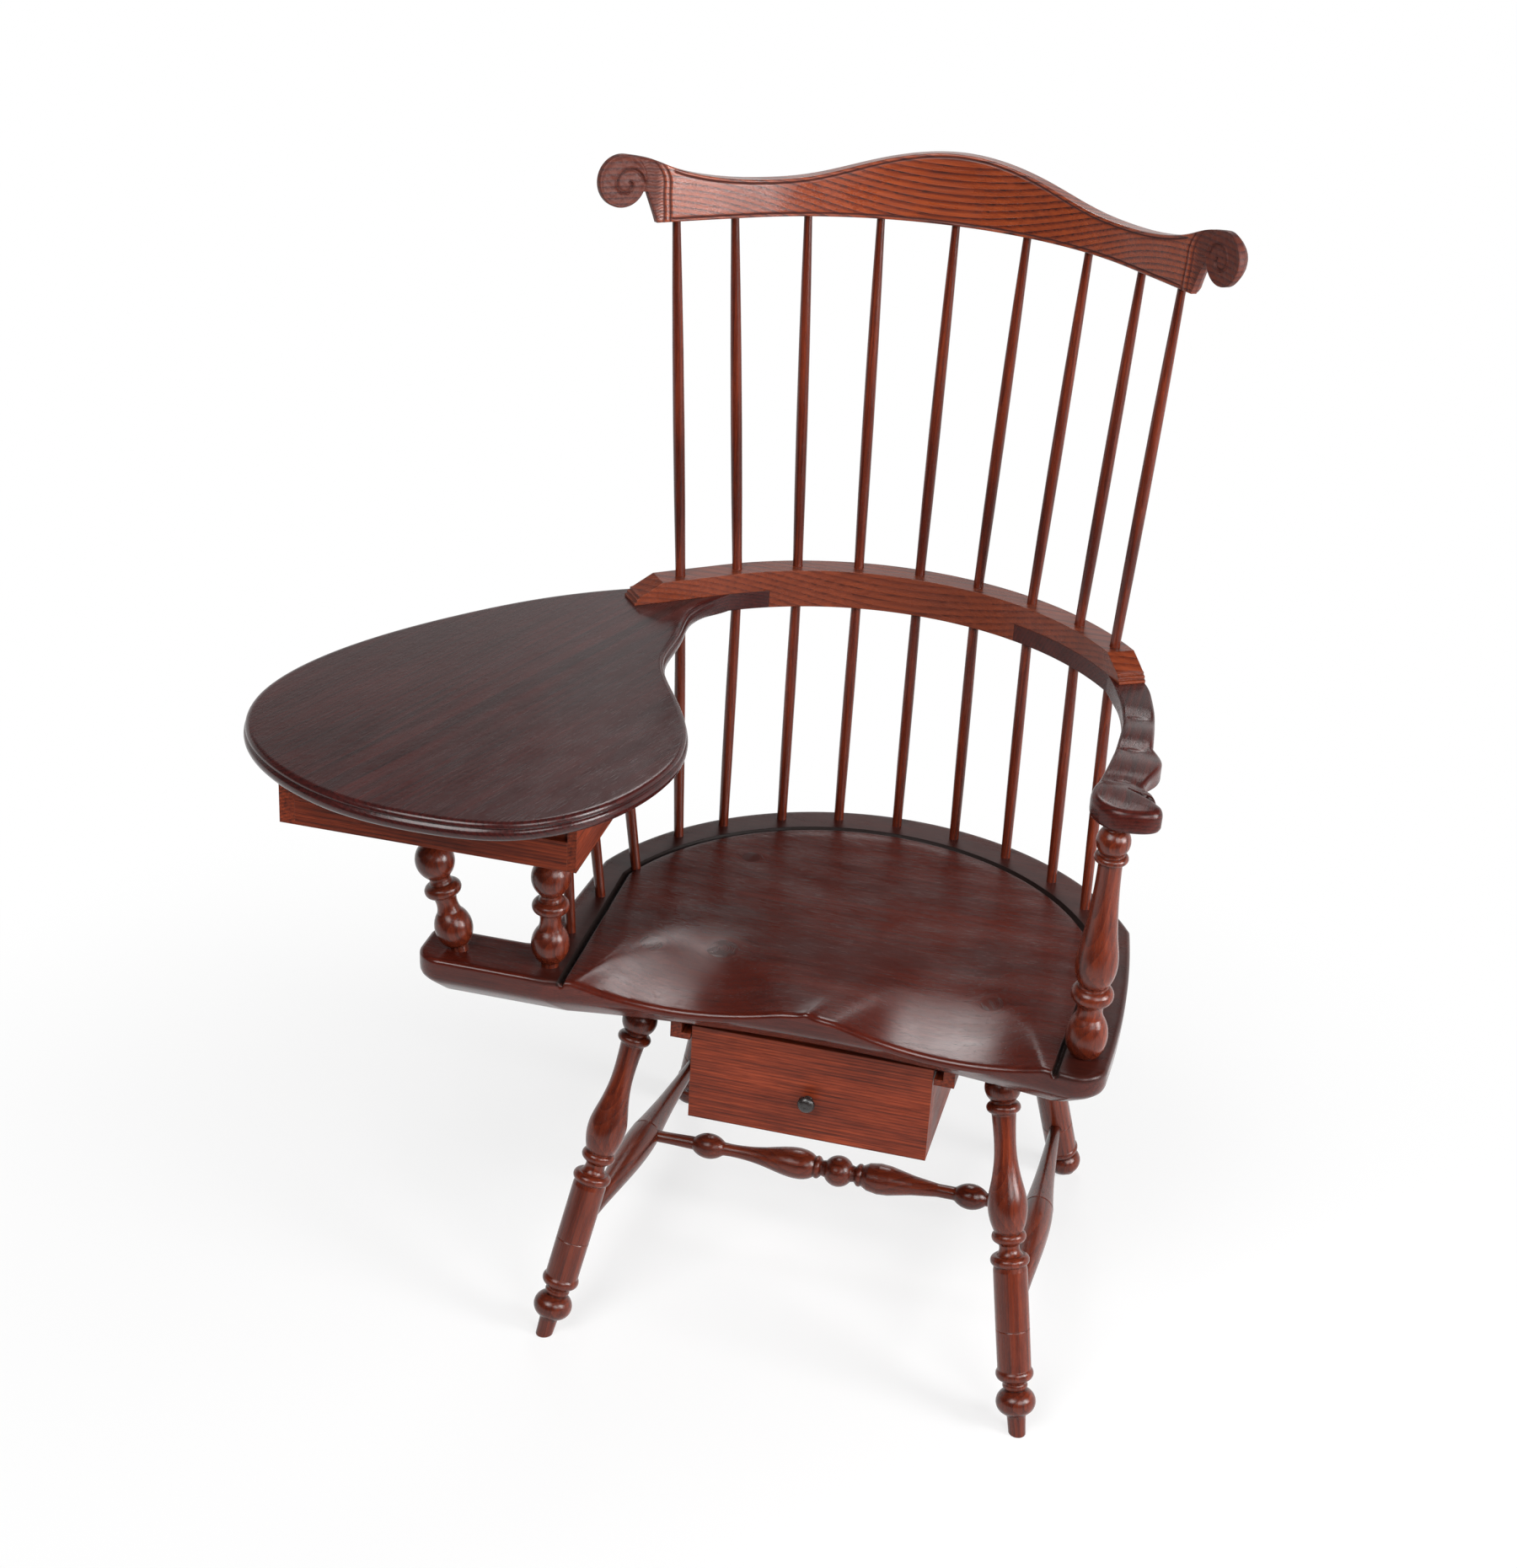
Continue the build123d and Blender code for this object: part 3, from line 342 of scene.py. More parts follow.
    # painted shade in quirks and crevices from ambient occlusion, partly the dark glaze gathered there, and handled
    # edges rubbed lighter
    hollow = makeNode(tree, "ShaderNodeAmbientOcclusion", samples=4, only_local=True)
    hollow.inputs["Distance"].default_value = look["hollowReach"]
    colour = mixed("MULTIPLY", ranged(hollow.outputs["AO"], 0.45, 0.85, look["creviceShadeAndGlazeShare"], 0.0), colour, look["hollow"])
    rounded = makeNode(tree, "ShaderNodeBevel", samples=4)
    rounded.inputs["Radius"].default_value = look["edgeRadius"]
    geometry = makeNode(tree, "ShaderNodeNewGeometry")
    agree = makeNode(tree, "ShaderNodeVectorMath", operation="DOT_PRODUCT")
    link(rounded.outputs["Normal"], agree.inputs[0])
    link(geometry.outputs["Normal"], agree.inputs[1])
    worn = mathOf("MULTIPLY", ranged(agree.outputs["Value"], 0.99, 0.85), ranged(streaks, 0.35, 0.65, 0.3, 1.0))
    worn = mathOf("MULTIPLY", worn, ranged(hollow.outputs["AO"], 0.8, 0.98))
    colour = mixed("MIX", mathOf("MULTIPLY", worn, look["wearShare"]), colour, look["worn"])
    if knotTone is not None:
        colour = mixed("MULTIPLY", knotTone, colour, look["knot"])
    # painted shade marked per point on the carved boards (grooves, gutter, shaded decks, the crest's carved ground),
    # also rougher and duller there
    paintedShade = makeNode(tree, "ShaderNodeAttribute", attribute_name="paintedShadeShare")
    colour = mixed("MIX", paintedShade.outputs["Fac"], colour, look["paintedShade"])
    link(colour, skin.inputs["Base Color"])

    gloss = noiseOf(stretched((14, 40, 40)), 1.0, 3.0)
    low, high = look["roughness"]
    rough = mathOf("ADD", ranged(gloss, 0.3, 0.7, low, high), ranged(pores, 0.5, 0.7, 0.0, 0.12))
    link(mathOf("ADD", rough, mathOf("MULTIPLY", paintedShade.outputs["Fac"], 0.3)), skin.inputs["Roughness"])
    link(ranged(paintedShade.outputs["Fac"], 0.0, 1.0, look["specular"], 0.12), skin.inputs["Specular IOR Level"])

    height = mathOf("ADD", mathOf("MULTIPLY", rings.outputs["Fac"], 0.25), mathOf("MULTIPLY", pores, -0.9))
    height = mathOf("ADD", height, mathOf("MULTIPLY", streaks, 0.5))
    if knotTone is not None:
        height = mathOf("ADD", height, mathOf("MULTIPLY", knotTone, -0.5))
    if look["leather"] > 0:
        ripples = makeNode(tree, "ShaderNodeTexVoronoi", feature="SMOOTH_F1")
        ripples.inputs["Scale"].default_value = 1.0
        ripples.inputs["Smoothness"].default_value = 0.7
        link(stretched((230, 330, 330)), ripples.inputs["Vector"])
        dimples = noiseOf(stretched((60, 90, 90)), 1.0, 3.0)
        height = mathOf("ADD", height, mathOf("MULTIPLY", ripples.outputs["Distance"], look["leather"]))
        height = mathOf("ADD", height, mathOf("MULTIPLY", dimples, 2.0 * look["leather"]))
    bump = makeNode(tree, "ShaderNodeBump")
    bump.inputs["Strength"].default_value = look["bump"]
    bump.inputs["Distance"].default_value = 0.0004
    link(height, bump.inputs["Height"])
    link(rounded.outputs["Normal"], bump.inputs["Normal"])
    link(bump.outputs["Normal"], skin.inputs["Normal"])
    return material


baseWood = {
    "light": (0.26, 0.052, 0.018),
    "middle": (0.17, 0.030, 0.011),
    "dark": (0.065, 0.013, 0.006),
    "pore": (0.30, 0.22, 0.20),
    "poreShare": 0.5,
    "poreGrid": (55, 1500, 1500),  # pores per metre along and across the grain
    "ringPorous": False,
    "cloud": (0.42, 0.34, 0.32),
    "cloudShare": 0.75,
    "paintedShade": (0.012, 0.006, 0.005),  # painted shade, mixed in where the carved boards mark it: the seat's gutter and decks, and the crest's cut lines and carved ground
    "knots": [],  # lengthwise, crosswise from the board's middle, and radius, in metres
    "knot": (0.62, 0.56, 0.56),
    "leather": 0.0,  # how much the varnish has drawn up into fine ripples
    # the colour, reach and strength of the painted crevice shade and glaze
    "hollow": (0.14, 0.09, 0.08),
    "hollowReach": 0.007,
    "creviceShadeAndGlazeShare": 0.9,
    "worn": (0.36, 0.085, 0.03),
    "wearShare": 0.4,
    "edgeRadius": 0.0012,
    "ringWidth": 0.0035,
    "ringWander": 6.0,
    "wanderScale": 0.06,
    "ringFrom": 0.0,  # how far through each year's growth the dark wood starts
    "ringShare": 0.5,
    "streakShare": 0.5,
    "grainStretch": 0.08,
    "roughness": (0.27, 0.40),
    "specular": 0.45,
    "coat": 0.0,
    "coatRoughness": 0.28,
    "bump": 0.3,
}
seatLook = dict(baseWood, light=(0.115, 0.017, 0.009), middle=(0.080, 0.0115, 0.0065), dark=(0.035, 0.007, 0.005),
                worn=(0.22, 0.045, 0.02), ringWidth=0.006, roughness=(0.12, 0.20), ringFrom=0.3, ringShare=0.2,
                bump=0.14, specular=0.40,
                knots=[(-0.131, -0.122, 0.012), (-0.062, -0.101, 0.016), (0.220, -0.118, 0.012), (-0.081, 0.088, 0.010)])
turnedLook = dict(baseWood, light=(0.23, 0.040, 0.015), middle=(0.13, 0.021, 0.009), dark=(0.04, 0.008, 0.005),
                  ringShare=0.35, cloudShare=0.95, specular=0.42, roughness=(0.15, 0.25))
bentLook = dict(baseWood, light=(0.33, 0.060, 0.015), middle=(0.19, 0.031, 0.010), dark=(0.075, 0.013, 0.008),
                specular=0.5, roughness=(0.22, 0.34), ringFrom=0.45, ringShare=0.75, streakShare=0.35,
                ringWidth=0.0058, ringWander=14.0, pore=(0.16, 0.10, 0.12), poreShare=0.95, poreGrid=(26, 620, 620),
                # the last setting below is the crest's painted shade colour, for its cut lines and carved ground
                ringPorous=True, cloudShare=0.4, bump=0.35, paintedShade=(0.055, 0.022, 0.021))
railLook = dict(bentLook, light=(0.22, 0.043, 0.015), middle=(0.13, 0.024, 0.010), specular=0.4, ringShare=0.4,
                poreShare=0.6)
armLook = dict(baseWood, light=(0.105, 0.019, 0.013), middle=(0.070, 0.013, 0.010), dark=(0.030, 0.008, 0.006),
               worn=(0.20, 0.05, 0.028), roughness=(0.18, 0.26), specular=0.25, bump=0.18)
tabletLook = dict(baseWood, light=(0.080, 0.014, 0.012), middle=(0.050, 0.010, 0.009), dark=(0.022, 0.006, 0.006),
                  worn=(0.14, 0.040, 0.026), roughness=(0.15, 0.22), bump=0.13, leather=0.5, specular=0.4)
drawerLook = dict(baseWood, light=(0.40, 0.068, 0.019), middle=(0.25, 0.038, 0.012), dark=(0.08, 0.014, 0.006),
                  specular=0.25, roughness=(0.34, 0.48), streakShare=0.7)
knobLook = dict(baseWood, light=(0.030, 0.022, 0.020), middle=(0.022, 0.017, 0.016), dark=(0.012, 0.010, 0.010),
                worn=(0.06, 0.045, 0.04), roughness=(0.20, 0.30), specular=0.6)


def endsOf(name):
    low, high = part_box(name)
    return low, high


def dress(name, material):
    piece = nodes[name]
    piece.data.materials.clear()
    piece.data.materials.append(material)
    for face in piece.data.polygons:
        face.material_index = 0


grainOf = {
    "seat": ((1, 0, 0), "seatLook", (0.05, 0.16)),
    "arm_rail": ((1, 0, 0), "railLook", (0.12, 0.2)),
    "arm_right": ((0, 1, 0), "armLook", (0.08, 0.06)),
    "crest_rail": ((1, 0, 0), "bentLook", (0.1, 0.25)),
    "tablet": ((0.35, 1, 0), "tabletLook", (0.03, 0.12)),
}


def dressAll():
    looks = {"railLook": railLook}
    for name in sorted(nodes):
        if name in ("crest_rail", "tablet", "seat", "arm_right"):
            continue
        low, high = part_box(name)
        middle = (low + high) / 2
        if name in grainOf:
            along, lookName, pith = grainOf[name]
            dress(name, woodMaterial(name + "Wood", looks[lookName], along, middle, pith))
        elif "knob" in name:
            dress(name, woodMaterial(name + "Wood", knobLook, (0, 1, 0), middle, (0.002, 0.004)))
        elif "drawer" in name or "bearer" in name or "hanger" in name:
            size = high - low
            axis = max(range(3), key=lambda i: size[i])
            along = [0, 0, 0]
            along[axis] = 1
            dress(name, woodMaterial(name + "Wood", drawerLook, along, middle, (0.02, 0.06)))
        else:
            dress(name, woodMaterial(name + "Wood", turnedLook, *lineOf(name), (0.004, 0.006)))


def lineOf(name):
    # the long axis of a turned piece, from the middles of its two end slices
    points = [v.co for v in nodes[name].data.vertices]
    low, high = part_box(name)
    size = high - low
    axis = max(range(3), key=lambda i: size[i])
    reach = size[axis] * 0.04
    ends = []
    for edge, side in ((low[axis], 1), (high[axis], -1)):
        near = [p for p in points if (p[axis] - edge) * side < reach]
        ends.append(sum(near, Vector()) / len(near))
    return ends[1] - ends[0], ends[0]


# ---- ways of shaping a board
drawnZero = Vector((0.11627, 0.08897, 0.0))  # where the chair's own drawing starts, in metres


def placed(points):
    # millimetres in the chair's drawing to metres in the frame
    return np.asarray(points, float) / 1000.0 + np.array(drawnZero)


def smoothLine(points, step):
    # an even curve through the points, bending no more than it must
    marks = np.array(points, float)
    along = np.r_[0, np.cumsum(np.linalg.norm(np.diff(marks, axis=0), axis=1))]
    gap = np.diff(along)
    count = len(marks)
    weights = np.eye(count)
    bends = np.zeros((count, 2))
    for i in range(1, count - 1):
        weights[i, i - 1:i + 2] = (gap[i - 1], 2 * (gap[i - 1] + gap[i]), gap[i])
        bends[i] = 6 * ((marks[i + 1] - marks[i]) / gap[i] - (marks[i] - marks[i - 1]) / gap[i - 1])
    curve = np.linalg.solve(weights, bends)
    at = np.linspace(0, along[-1], max(int(along[-1] / step), 2) + 1)
    k = np.clip(np.searchsorted(along, at, side="right") - 1, 0, count - 2)
    a = ((along[k + 1] - at) / gap[k])[:, None]
    b = ((at - along[k]) / gap[k])[:, None]
    swell = ((a ** 3 - a) * curve[k] + (b ** 3 - b) * curve[k + 1]) * (gap[k] ** 2)[:, None] / 6
    return a * marks[k] + b * marks[k + 1] + swell


def arcLine(centre, radius, first, last, step):
    # angles in degrees from straight back, growing towards +X
    count = max(int(abs(last - first) * math.pi / 180 * radius / step), 2)
    angle = np.radians(np.linspace(first, last, count + 1))
    return np.c_[centre[0] + radius * np.sin(angle), centre[1] + radius * np.cos(angle)]


def straightLine(start, end, step):
    start, end = np.array(start, float), np.array(end, float)
    count = max(int(np.linalg.norm(end - start) / step), 1)
    return start + (end - start) * np.linspace(0, 1, count + 1)[:, None]


def closedLoop(runs):
    # runs joined nose to tail, counter-clockwise
    points = np.vstack([run[:-1] for run in runs])
    x, y = points.T
    area = np.sum(x * np.roll(y, -1) - y * np.roll(x, -1))
    return points if area > 0 else points[::-1]


def outwardOf(loop):
    run = np.roll(loop, -1, axis=0) - np.roll(loop, 1, axis=0)
    run /= np.linalg.norm(run, axis=1)[:, None] + 1e-9
    return np.c_[run[:, 1], -run[:, 0]]


def edgeDistance(points, line, closed=True):
    tree = kdtree.KDTree(len(line))
    for k, p in enumerate(line):
        tree.insert((p[0], p[1], 0), k)
    tree.balance()
    nearest = np.array([tree.find((p[0], p[1], 0))[1] for p in points])
    found = np.full(len(points), 1e9)
    last = len(line) - 1
    for step in (-1, 0):
        first = nearest + step
        second = first + 1
        if closed:
            first, second = first % len(line), second % len(line)
        else:
            first, second = np.clip(first, 0, last - 1), np.clip(second, 1, last)
        run = line[second] - line[first]
        rel = points - line[first]
        share = np.clip(np.sum(rel * run, axis=1) / (np.sum(run ** 2, axis=1) + 1e-12), 0, 1)
        found = np.minimum(found, np.linalg.norm(rel - share[:, None] * run, axis=1))
    return found


def insideOf(points, loop):
    x, y = points[:, 0][:, None], points[:, 1][:, None]
    x0, y0 = loop.T
    x1, y1 = np.roll(loop, -1, axis=0).T
    hit = np.zeros(len(points), bool)
    for k in range(0, len(points), 1500):
        xs, ys = x[k:k + 1500], y[k:k + 1500]
        cross = ((y0 > ys) != (y1 > ys)) & (xs < (x1 - x0) * (ys - y0) / (y1 - y0 + 1e-12) + x0)
        hit[k:k + 1500] = np.sum(cross, axis=1) % 2 == 1
    return hit


def gridIn(loop, step, clear):
    low, high = loop.min(axis=0), loop.max(axis=0)
    xs, ys = np.meshgrid(np.arange(low[0], high[0], step), np.arange(low[1], high[1], step * 0.87))
    xs = xs + (np.arange(len(xs)) % 2)[:, None] * step / 2
    points = np.c_[xs.ravel(), ys.ravel()]
    points = points[insideOf(points, loop)]
    return points[edgeDistance(points, loop) > clear]


def rowsBeside(loop, insets):
    out = outwardOf(loop)
    rows = []
    for inset in insets:
        row = loop - out * inset
        row = row[insideOf(row, loop)]
        rows.append(row[edgeDistance(row, loop) > inset * 0.97])
    return np.vstack(rows)


def eased(distance, radius):
    # how far a rounded edge has fallen at this distance in from it
    reach = np.clip(radius - distance, 0, radius)
    return radius - np.sqrt(radius ** 2 - reach ** 2)


def easeIn(value, low, high):
    share = np.clip((value - low) / (high - low), 0, 1)
    return share * share * (3 - 2 * share)


def filled(loop, inner):
    flat = [Vector(p) for p in np.vstack([loop, inner])]
    points, _, faces, origin, _, _ = delaunay_2d_cdt(flat, [], [list(range(len(loop)))], 1, 1e-4)
    place = {}
    for k, sources in enumerate(origin):
        for source in sources:
            place[source] = k
    return np.array([tuple(p) for p in points]), faces, [place[k] for k in range(len(loop))]


def carvedBoard(name, rings, topInner, lowInner, topOf, lowOf, ringHeights, bend, sharp=38.0, paintedShadeOf=None):
    # rings: the same outline at each step down the edge, the first on the top face, the last on the lower
    top, topFaces, topEdge = filled(rings[0], topInner)
    low, lowFaces, lowEdge = filled(rings[-1], lowInner)
    topZ = topOf(top)
    lowZ = lowOf(low)
    count = len(rings[0])
    points = [np.c_[top, topZ]]
    paintedShade = [paintedShadeOf(top, topZ) if paintedShadeOf else np.zeros(len(top))]
    rows = [list(topEdge)]
    total = len(top)
    for ring, height in zip(rings[1:-1], ringHeights(topZ[topEdge], lowZ[lowEdge])):
        points.append(np.c_[ring, height])
        paintedShade.append(paintedShadeOf(ring, height) if paintedShadeOf else np.zeros(count))
        rows.append(list(range(total, total + count)))
        total += count
    points.append(np.c_[low, lowZ])
    paintedShade.append(paintedShadeOf(low, lowZ) if paintedShadeOf else np.zeros(len(low)))
    rows.append([total + k for k in lowEdge])
    faces = [tuple(f) for f in topFaces] + [tuple(total + k for k in f)[::-1] for f in lowFaces]
    for upper, lower in zip(rows[:-1], rows[1:]):
        for k in range(count):
            j = (k + 1) % count
            faces.append((upper[j], upper[k], lower[k], lower[j]))
    mesh = bpy.data.meshes.new(name)
    mesh.from_pydata([Vector(p) for p in placed(bend(np.vstack(points)))], [], faces)
    mesh.validate()
    # each point's share of painted shade, for the wood material to mix in
    shades = mesh.attributes.new("paintedShadeShare", "FLOAT", "POINT")
    shades.data.foreach_set("value", np.concatenate(paintedShade).astype(np.float32))
    work = bmesh.new()
    work.from_mesh(mesh)
    bmesh.ops.recalc_face_normals(work, faces=work.faces)
    limit = math.radians(sharp)
    for face in work.faces:
        face.smooth = True
    for edge in work.edges:
        edge.smooth = len(edge.link_faces) != 2 or edge.calc_face_angle(0.0) < limit
    work.to_mesh(mesh)
    work.free()
    board = bpy.data.objects.new(name, mesh)
    scene.collection.objects.link(board)
    return board


def roughNoise(points, size, depth, seed=0.0):
    # slow uneven tool work over a surface
    return depth * np.array([noise.noise(Vector((p[0] / size, p[1] / size, seed))) for p in points])


def flatBend(points):
    return points


# ---- the carved crest
crest = {
    "bendRadius": 266.0,  # millimetres
    "bendCentre": -20.0,
    "bendEnd": 47.0,  # degrees; the ears run straight from here
    "bottom": 1093.0,
    "lean": 5.5,
    "turn": 2.0,
    "turnAxis": 212.0,
    "halfThick": 10.0,
    "arch": 3.4,
    "archRadius": 5768.0,
    "footX": 268.0,
    "notchX": 277.0,
    "notchUp": 27.5,
    "voluteRun": 148.5,
    "voluteUp": 38.0,
    "voluteRadius": 25.5,
    "eyeIn": 5.9,  # the eye sits this far inside and below the volute's middle
    "eyeDown": 3.3,
    "beadIn": 3.6,
    "topLine": [(0.0, 74.5), (88.0, 59.0), (147.0, 41.3), (190.0, 37.5), (230.0, 41.5), (258.0, 50.5),
                (276.0, 59.2), (293.5, 63.3)],
    "earThick": 6.5,  # the ears are backed off to this at their edges
    "spiral": [(0, 19.7), (92, 15.8), (180, 13.4), (262, 8.6), (347, 6.0), (423, 4.3)],
    "roundEdge": 1.3,
    "gougeDeep": 1.1,
}


def crestBend(points):
    # (run along the midline, height, depth behind the front face) into the room
    run, up, back = points.T
    end = math.radians(crest["bendEnd"])
    radius = crest["bendRadius"]
    side = np.sign(run)
    reach = np.abs(run)
    out = back - crest["halfThick"]
    angle = np.minimum(reach / radius, end)
    past = np.maximum(reach - radius * end, 0)
    x = side * ((radius + out) * np.sin(angle) + past * math.cos(end))
    y = crest["bendCentre"] + (radius + out) * np.cos(angle) - past * math.sin(end)
    hinge = crest["bendCentre"] + radius
    lean = math.radians(crest["lean"])
    depth = y - hinge
    y = hinge + depth * math.cos(lean) + up * math.sin(lean)
    z = crest["bottom"] - depth * math.sin(lean) + up * math.cos(lean)
    turn = math.radians(crest["turn"])
    axis = crest["turnAxis"]
    return np.c_[x * math.cos(turn) + (y - axis) * math.sin(turn),
                 axis + (y - axis) * math.cos(turn) - x * math.sin(turn), z]


def crestRun(x):
    # half width to run along the midline
    end = math.radians(crest["bendEnd"])
    edge = crest["bendRadius"] * math.sin(end)
    x = np.asarray(x, float)
    round_ = crest["bendRadius"] * np.arcsin(np.minimum(x, edge) / crest["bendRadius"])
    return round_ + np.maximum(x - edge, 0) / math.cos(end)


def crestLow(x):
    return crest["arch"] - crest["archRadius"] + np.sqrt(crest["archRadius"] ** 2 - np.asarray(x, float) ** 2)


def makeCrest():
    step = 1.3
    end = math.radians(crest["bendEnd"])
    voluteRun = crest["bendRadius"] * end + crest["voluteRun"]
    voluteUp, radius = crest["voluteUp"], crest["voluteRadius"]
    lowX = np.linspace(0, crest["footX"], 220)
    foot = (float(crestRun(crest["footX"])), float(crestLow(crest["footX"])))
    notch = (float(crestRun(crest["notchX"])), crest["notchUp"])
    meet = math.radians(204)
    whole = [(-x, up) for x, up in crest["topLine"][:0:-1]] + crest["topLine"]
    topX = smoothLine(whole, step)
    topX = topX[topX[:, 0] > -step / 2]
    topX[0, 0] = 0.0
    topRun = np.c_[crestRun(topX[:, 0]), topX[:, 1]]
    last = math.atan2(topRun[-1, 1] - voluteUp, topRun[-1, 0] - voluteRun) + 2 * math.pi
    turn = np.linspace(meet, last, 110)
    scroll = np.c_[voluteRun + radius * np.cos(turn), voluteUp + radius * np.sin(turn)]
    half = np.vstack([np.c_[crestRun(lowX), crestLow(lowX)][:-1],
                      straightLine(foot, notch, step)[:-1],
                      straightLine(notch, scroll[0], step)[:-1],
                      scroll[:-1], topRun[::-1]])
    mirror = half[::-1] * (-1, 1)
    loop = closedLoop([np.vstack([half, mirror[1:]])])
    near = rowsBeside(loop, [0.2, 0.65, 1.3, 2.2, 2.9, 3.3, 3.7, 4.1, 4.6, 5.4])
    grid = gridIn(loop, 2.4, 6.4)
    grid = grid[np.abs(grid[:, 0]) < 304]
    fine = gridIn(loop, 1.0, 1.7)
    fine = fine[(np.abs(fine[:, 0]) >= 304)]
    near = near[(np.abs(near[:, 0]) < 304) | (edgeDistance(near, loop) < 1.6)]
    inner = np.vstack([near, grid, fine])
    angles, radii = zip(*crest["spiral"])

    def relief(points):
        reach = np.abs(points[:, 0])
        up = points[:, 1]
        edge = edgeDistance(points, loop)
        height = -eased(edge, crest["roundEdge"])
        inBand = 1 - easeIn(reach, 309, 312)
        height -= 0.95 * inBand * np.exp(-((edge - crest["beadIn"]) / 0.62) ** 2)
        height += 0.35 * inBand * np.exp(-((edge - 2.0) / 1.2) ** 2)
        # the worn bead at the ear, between two cut lines, sweeping over towards the volute
        sweep = 2.2 * easeIn(up, 0, 30) + 17.0 * np.clip((up - 33.0) / 27.0, 0, 1.4) ** 2.2
        for start, deep, wide in ((311.8, 1.15, 0.75), (318.6, 1.3, 0.85)):
            height -= deep * np.exp(-((reach - start - sweep) / wide) ** 2) * easeIn(edge, 0.2, 1.4)
        beyond = easeIn(reach - sweep, 318.4, 320.2)
        # gouged ground between the bead and the volute
        across, over = reach - voluteRun, up - voluteUp
        fromHub = np.hypot(across, over)
        ground = beyond * easeIn(fromHub, radius - 0.6, radius + 1.6)
        strokes = 0.5 + 0.5 * np.sin(up * 2.05 + 0.25 * (reach - 325) + 2.2 * np.sin(reach * 0.31))
        height -= ground * (crest["gougeDeep"] + 0.55 * strokes) * easeIn(edge, 0.3, 2.2)
        # the volute: a fine ridge winding in to the eye
        x = across + crest["eyeIn"]
        y = over + crest["eyeDown"]
        r = np.hypot(x, y)
        theta = np.degrees(np.arctan2(y, -x)) % 360
        hub = easeIn(radius + 2.0 - fromHub, 0, 2.4) * beyond
        ridge = np.zeros(len(points))
        cut = np.zeros(len(points))
        for lap in (0, 360):
            angle = theta + lap
            line = np.interp(angle, angles, radii)
            on = (angle <= angles[-1]).astype(float)
            gap = r - line
            ridge = np.maximum(ridge, on * np.exp(-(gap / 0.75) ** 2))
            cut = np.maximum(cut, on * np.exp(-((gap + 1.9) / 1.25) ** 2))
        button = np.exp(-(r / 2.6) ** 2)
        worked = roughNoise(points, 4.6, 0.5) + roughNoise(points, 2.4, 0.16, 3.0)
        bowl = -1.1 * easeIn(radius - fromHub, 0.6, 5.0)
        height += hub * (bowl + 1.5 * ridge - 1.2 * cut + 1.1 * button + worked * easeIn(edge, 0.8, 3.0))
        return -height

    # painted shade in the cut lines of the bead and ear on the front face; the ears' carved ground and volutes painted
    # darker
    def paintedShadeOn(points, height):
        reach = np.abs(points[:, 0])
        up = points[:, 1]
        edge = edgeDistance(points, loop)
        front = height < crest["halfThick"]
        grooves = (1 - easeIn(reach, 309, 312)) * np.exp(-((edge - crest["beadIn"]) / 0.95) ** 2)
        sweep = 2.2 * easeIn(up, 0, 30) + 17.0 * np.clip((up - 33.0) / 27.0, 0, 1.4) ** 2.2
        for start in (311.8, 318.6):
            grooves = np.maximum(grooves, np.exp(-((reach - start - sweep) / 1.0) ** 2))
        return np.maximum(0.95 * grooves * front, 0.7 * easeIn(reach, 318, 330))

    def backed(points):
        # the back, rounded off along its edges and dished away behind the ears
        edge = edgeDistance(points, loop)
        ear = easeIn(np.abs(points[:, 0]), 308, 330)
        thin = (2 * crest["halfThick"] - crest["earThick"]) * np.clip(1 - edge / 15.0, 0, 1) ** 1.6
        return 2 * crest["halfThick"] - (1 - ear) * 0.8 * eased(edge, 5.0) - ear * thin

    rear = np.vstack([rowsBeside(loop, [0.5, 1.6, 3.2, 5.0]), gridIn(loop, 5.0, 6.5)])
    board = carvedBoard("carvedCrest", [loop] * 4, inner, rear, relief, backed,
                        lambda top, low: [top + 1.5, low - 1.0], crestBend, paintedShadeOf=paintedShadeOn)
    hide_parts("crest_rail")
    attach(board, "frame")
    return board


# ---- the writing tablet
railRing = {"centre": (-10.47, -87.82), "inner": 287.75, "outer": 316.25, "seamLeft": -29.02, "seamRight": 25.02}
tablet = {
    "top": 705.0,  # millimetres
    "under": 686.0,
    "topRound": 4.4,
    "edge": [(-211.0, 84.0), (-208.0, 30.0), (-205.0, -40.0), (-176.0, -108.0), (-144.0, -174.0),
             (-130.0, -240.0), (-142.0, -316.0), (-178.0, -384.0), (-234.0, -428.0), (-304.0, -441.0),
             (-396.0, -431.0), (-467.0, -397.0), (-524.0, -338.0), (-546.6, -262.0), (-538.0, -193.0),
             (-503.0, -109.5), (-434.0, -9.0), (-373.0, 58.0), (-304.0, 112.0)],
    "rim": [(1.7, 4.6), (1.9, 5.5), (2.7, 6.1), (2.4, 6.8), (1.2, 7.6), (0.35, 9.0), (0.0, 11.2), (0.3, 13.6),
            (1.3, 16.0), (2.9, 17.9), (5.0, 18.9)],  # (in from the widest line, down from the top)
}


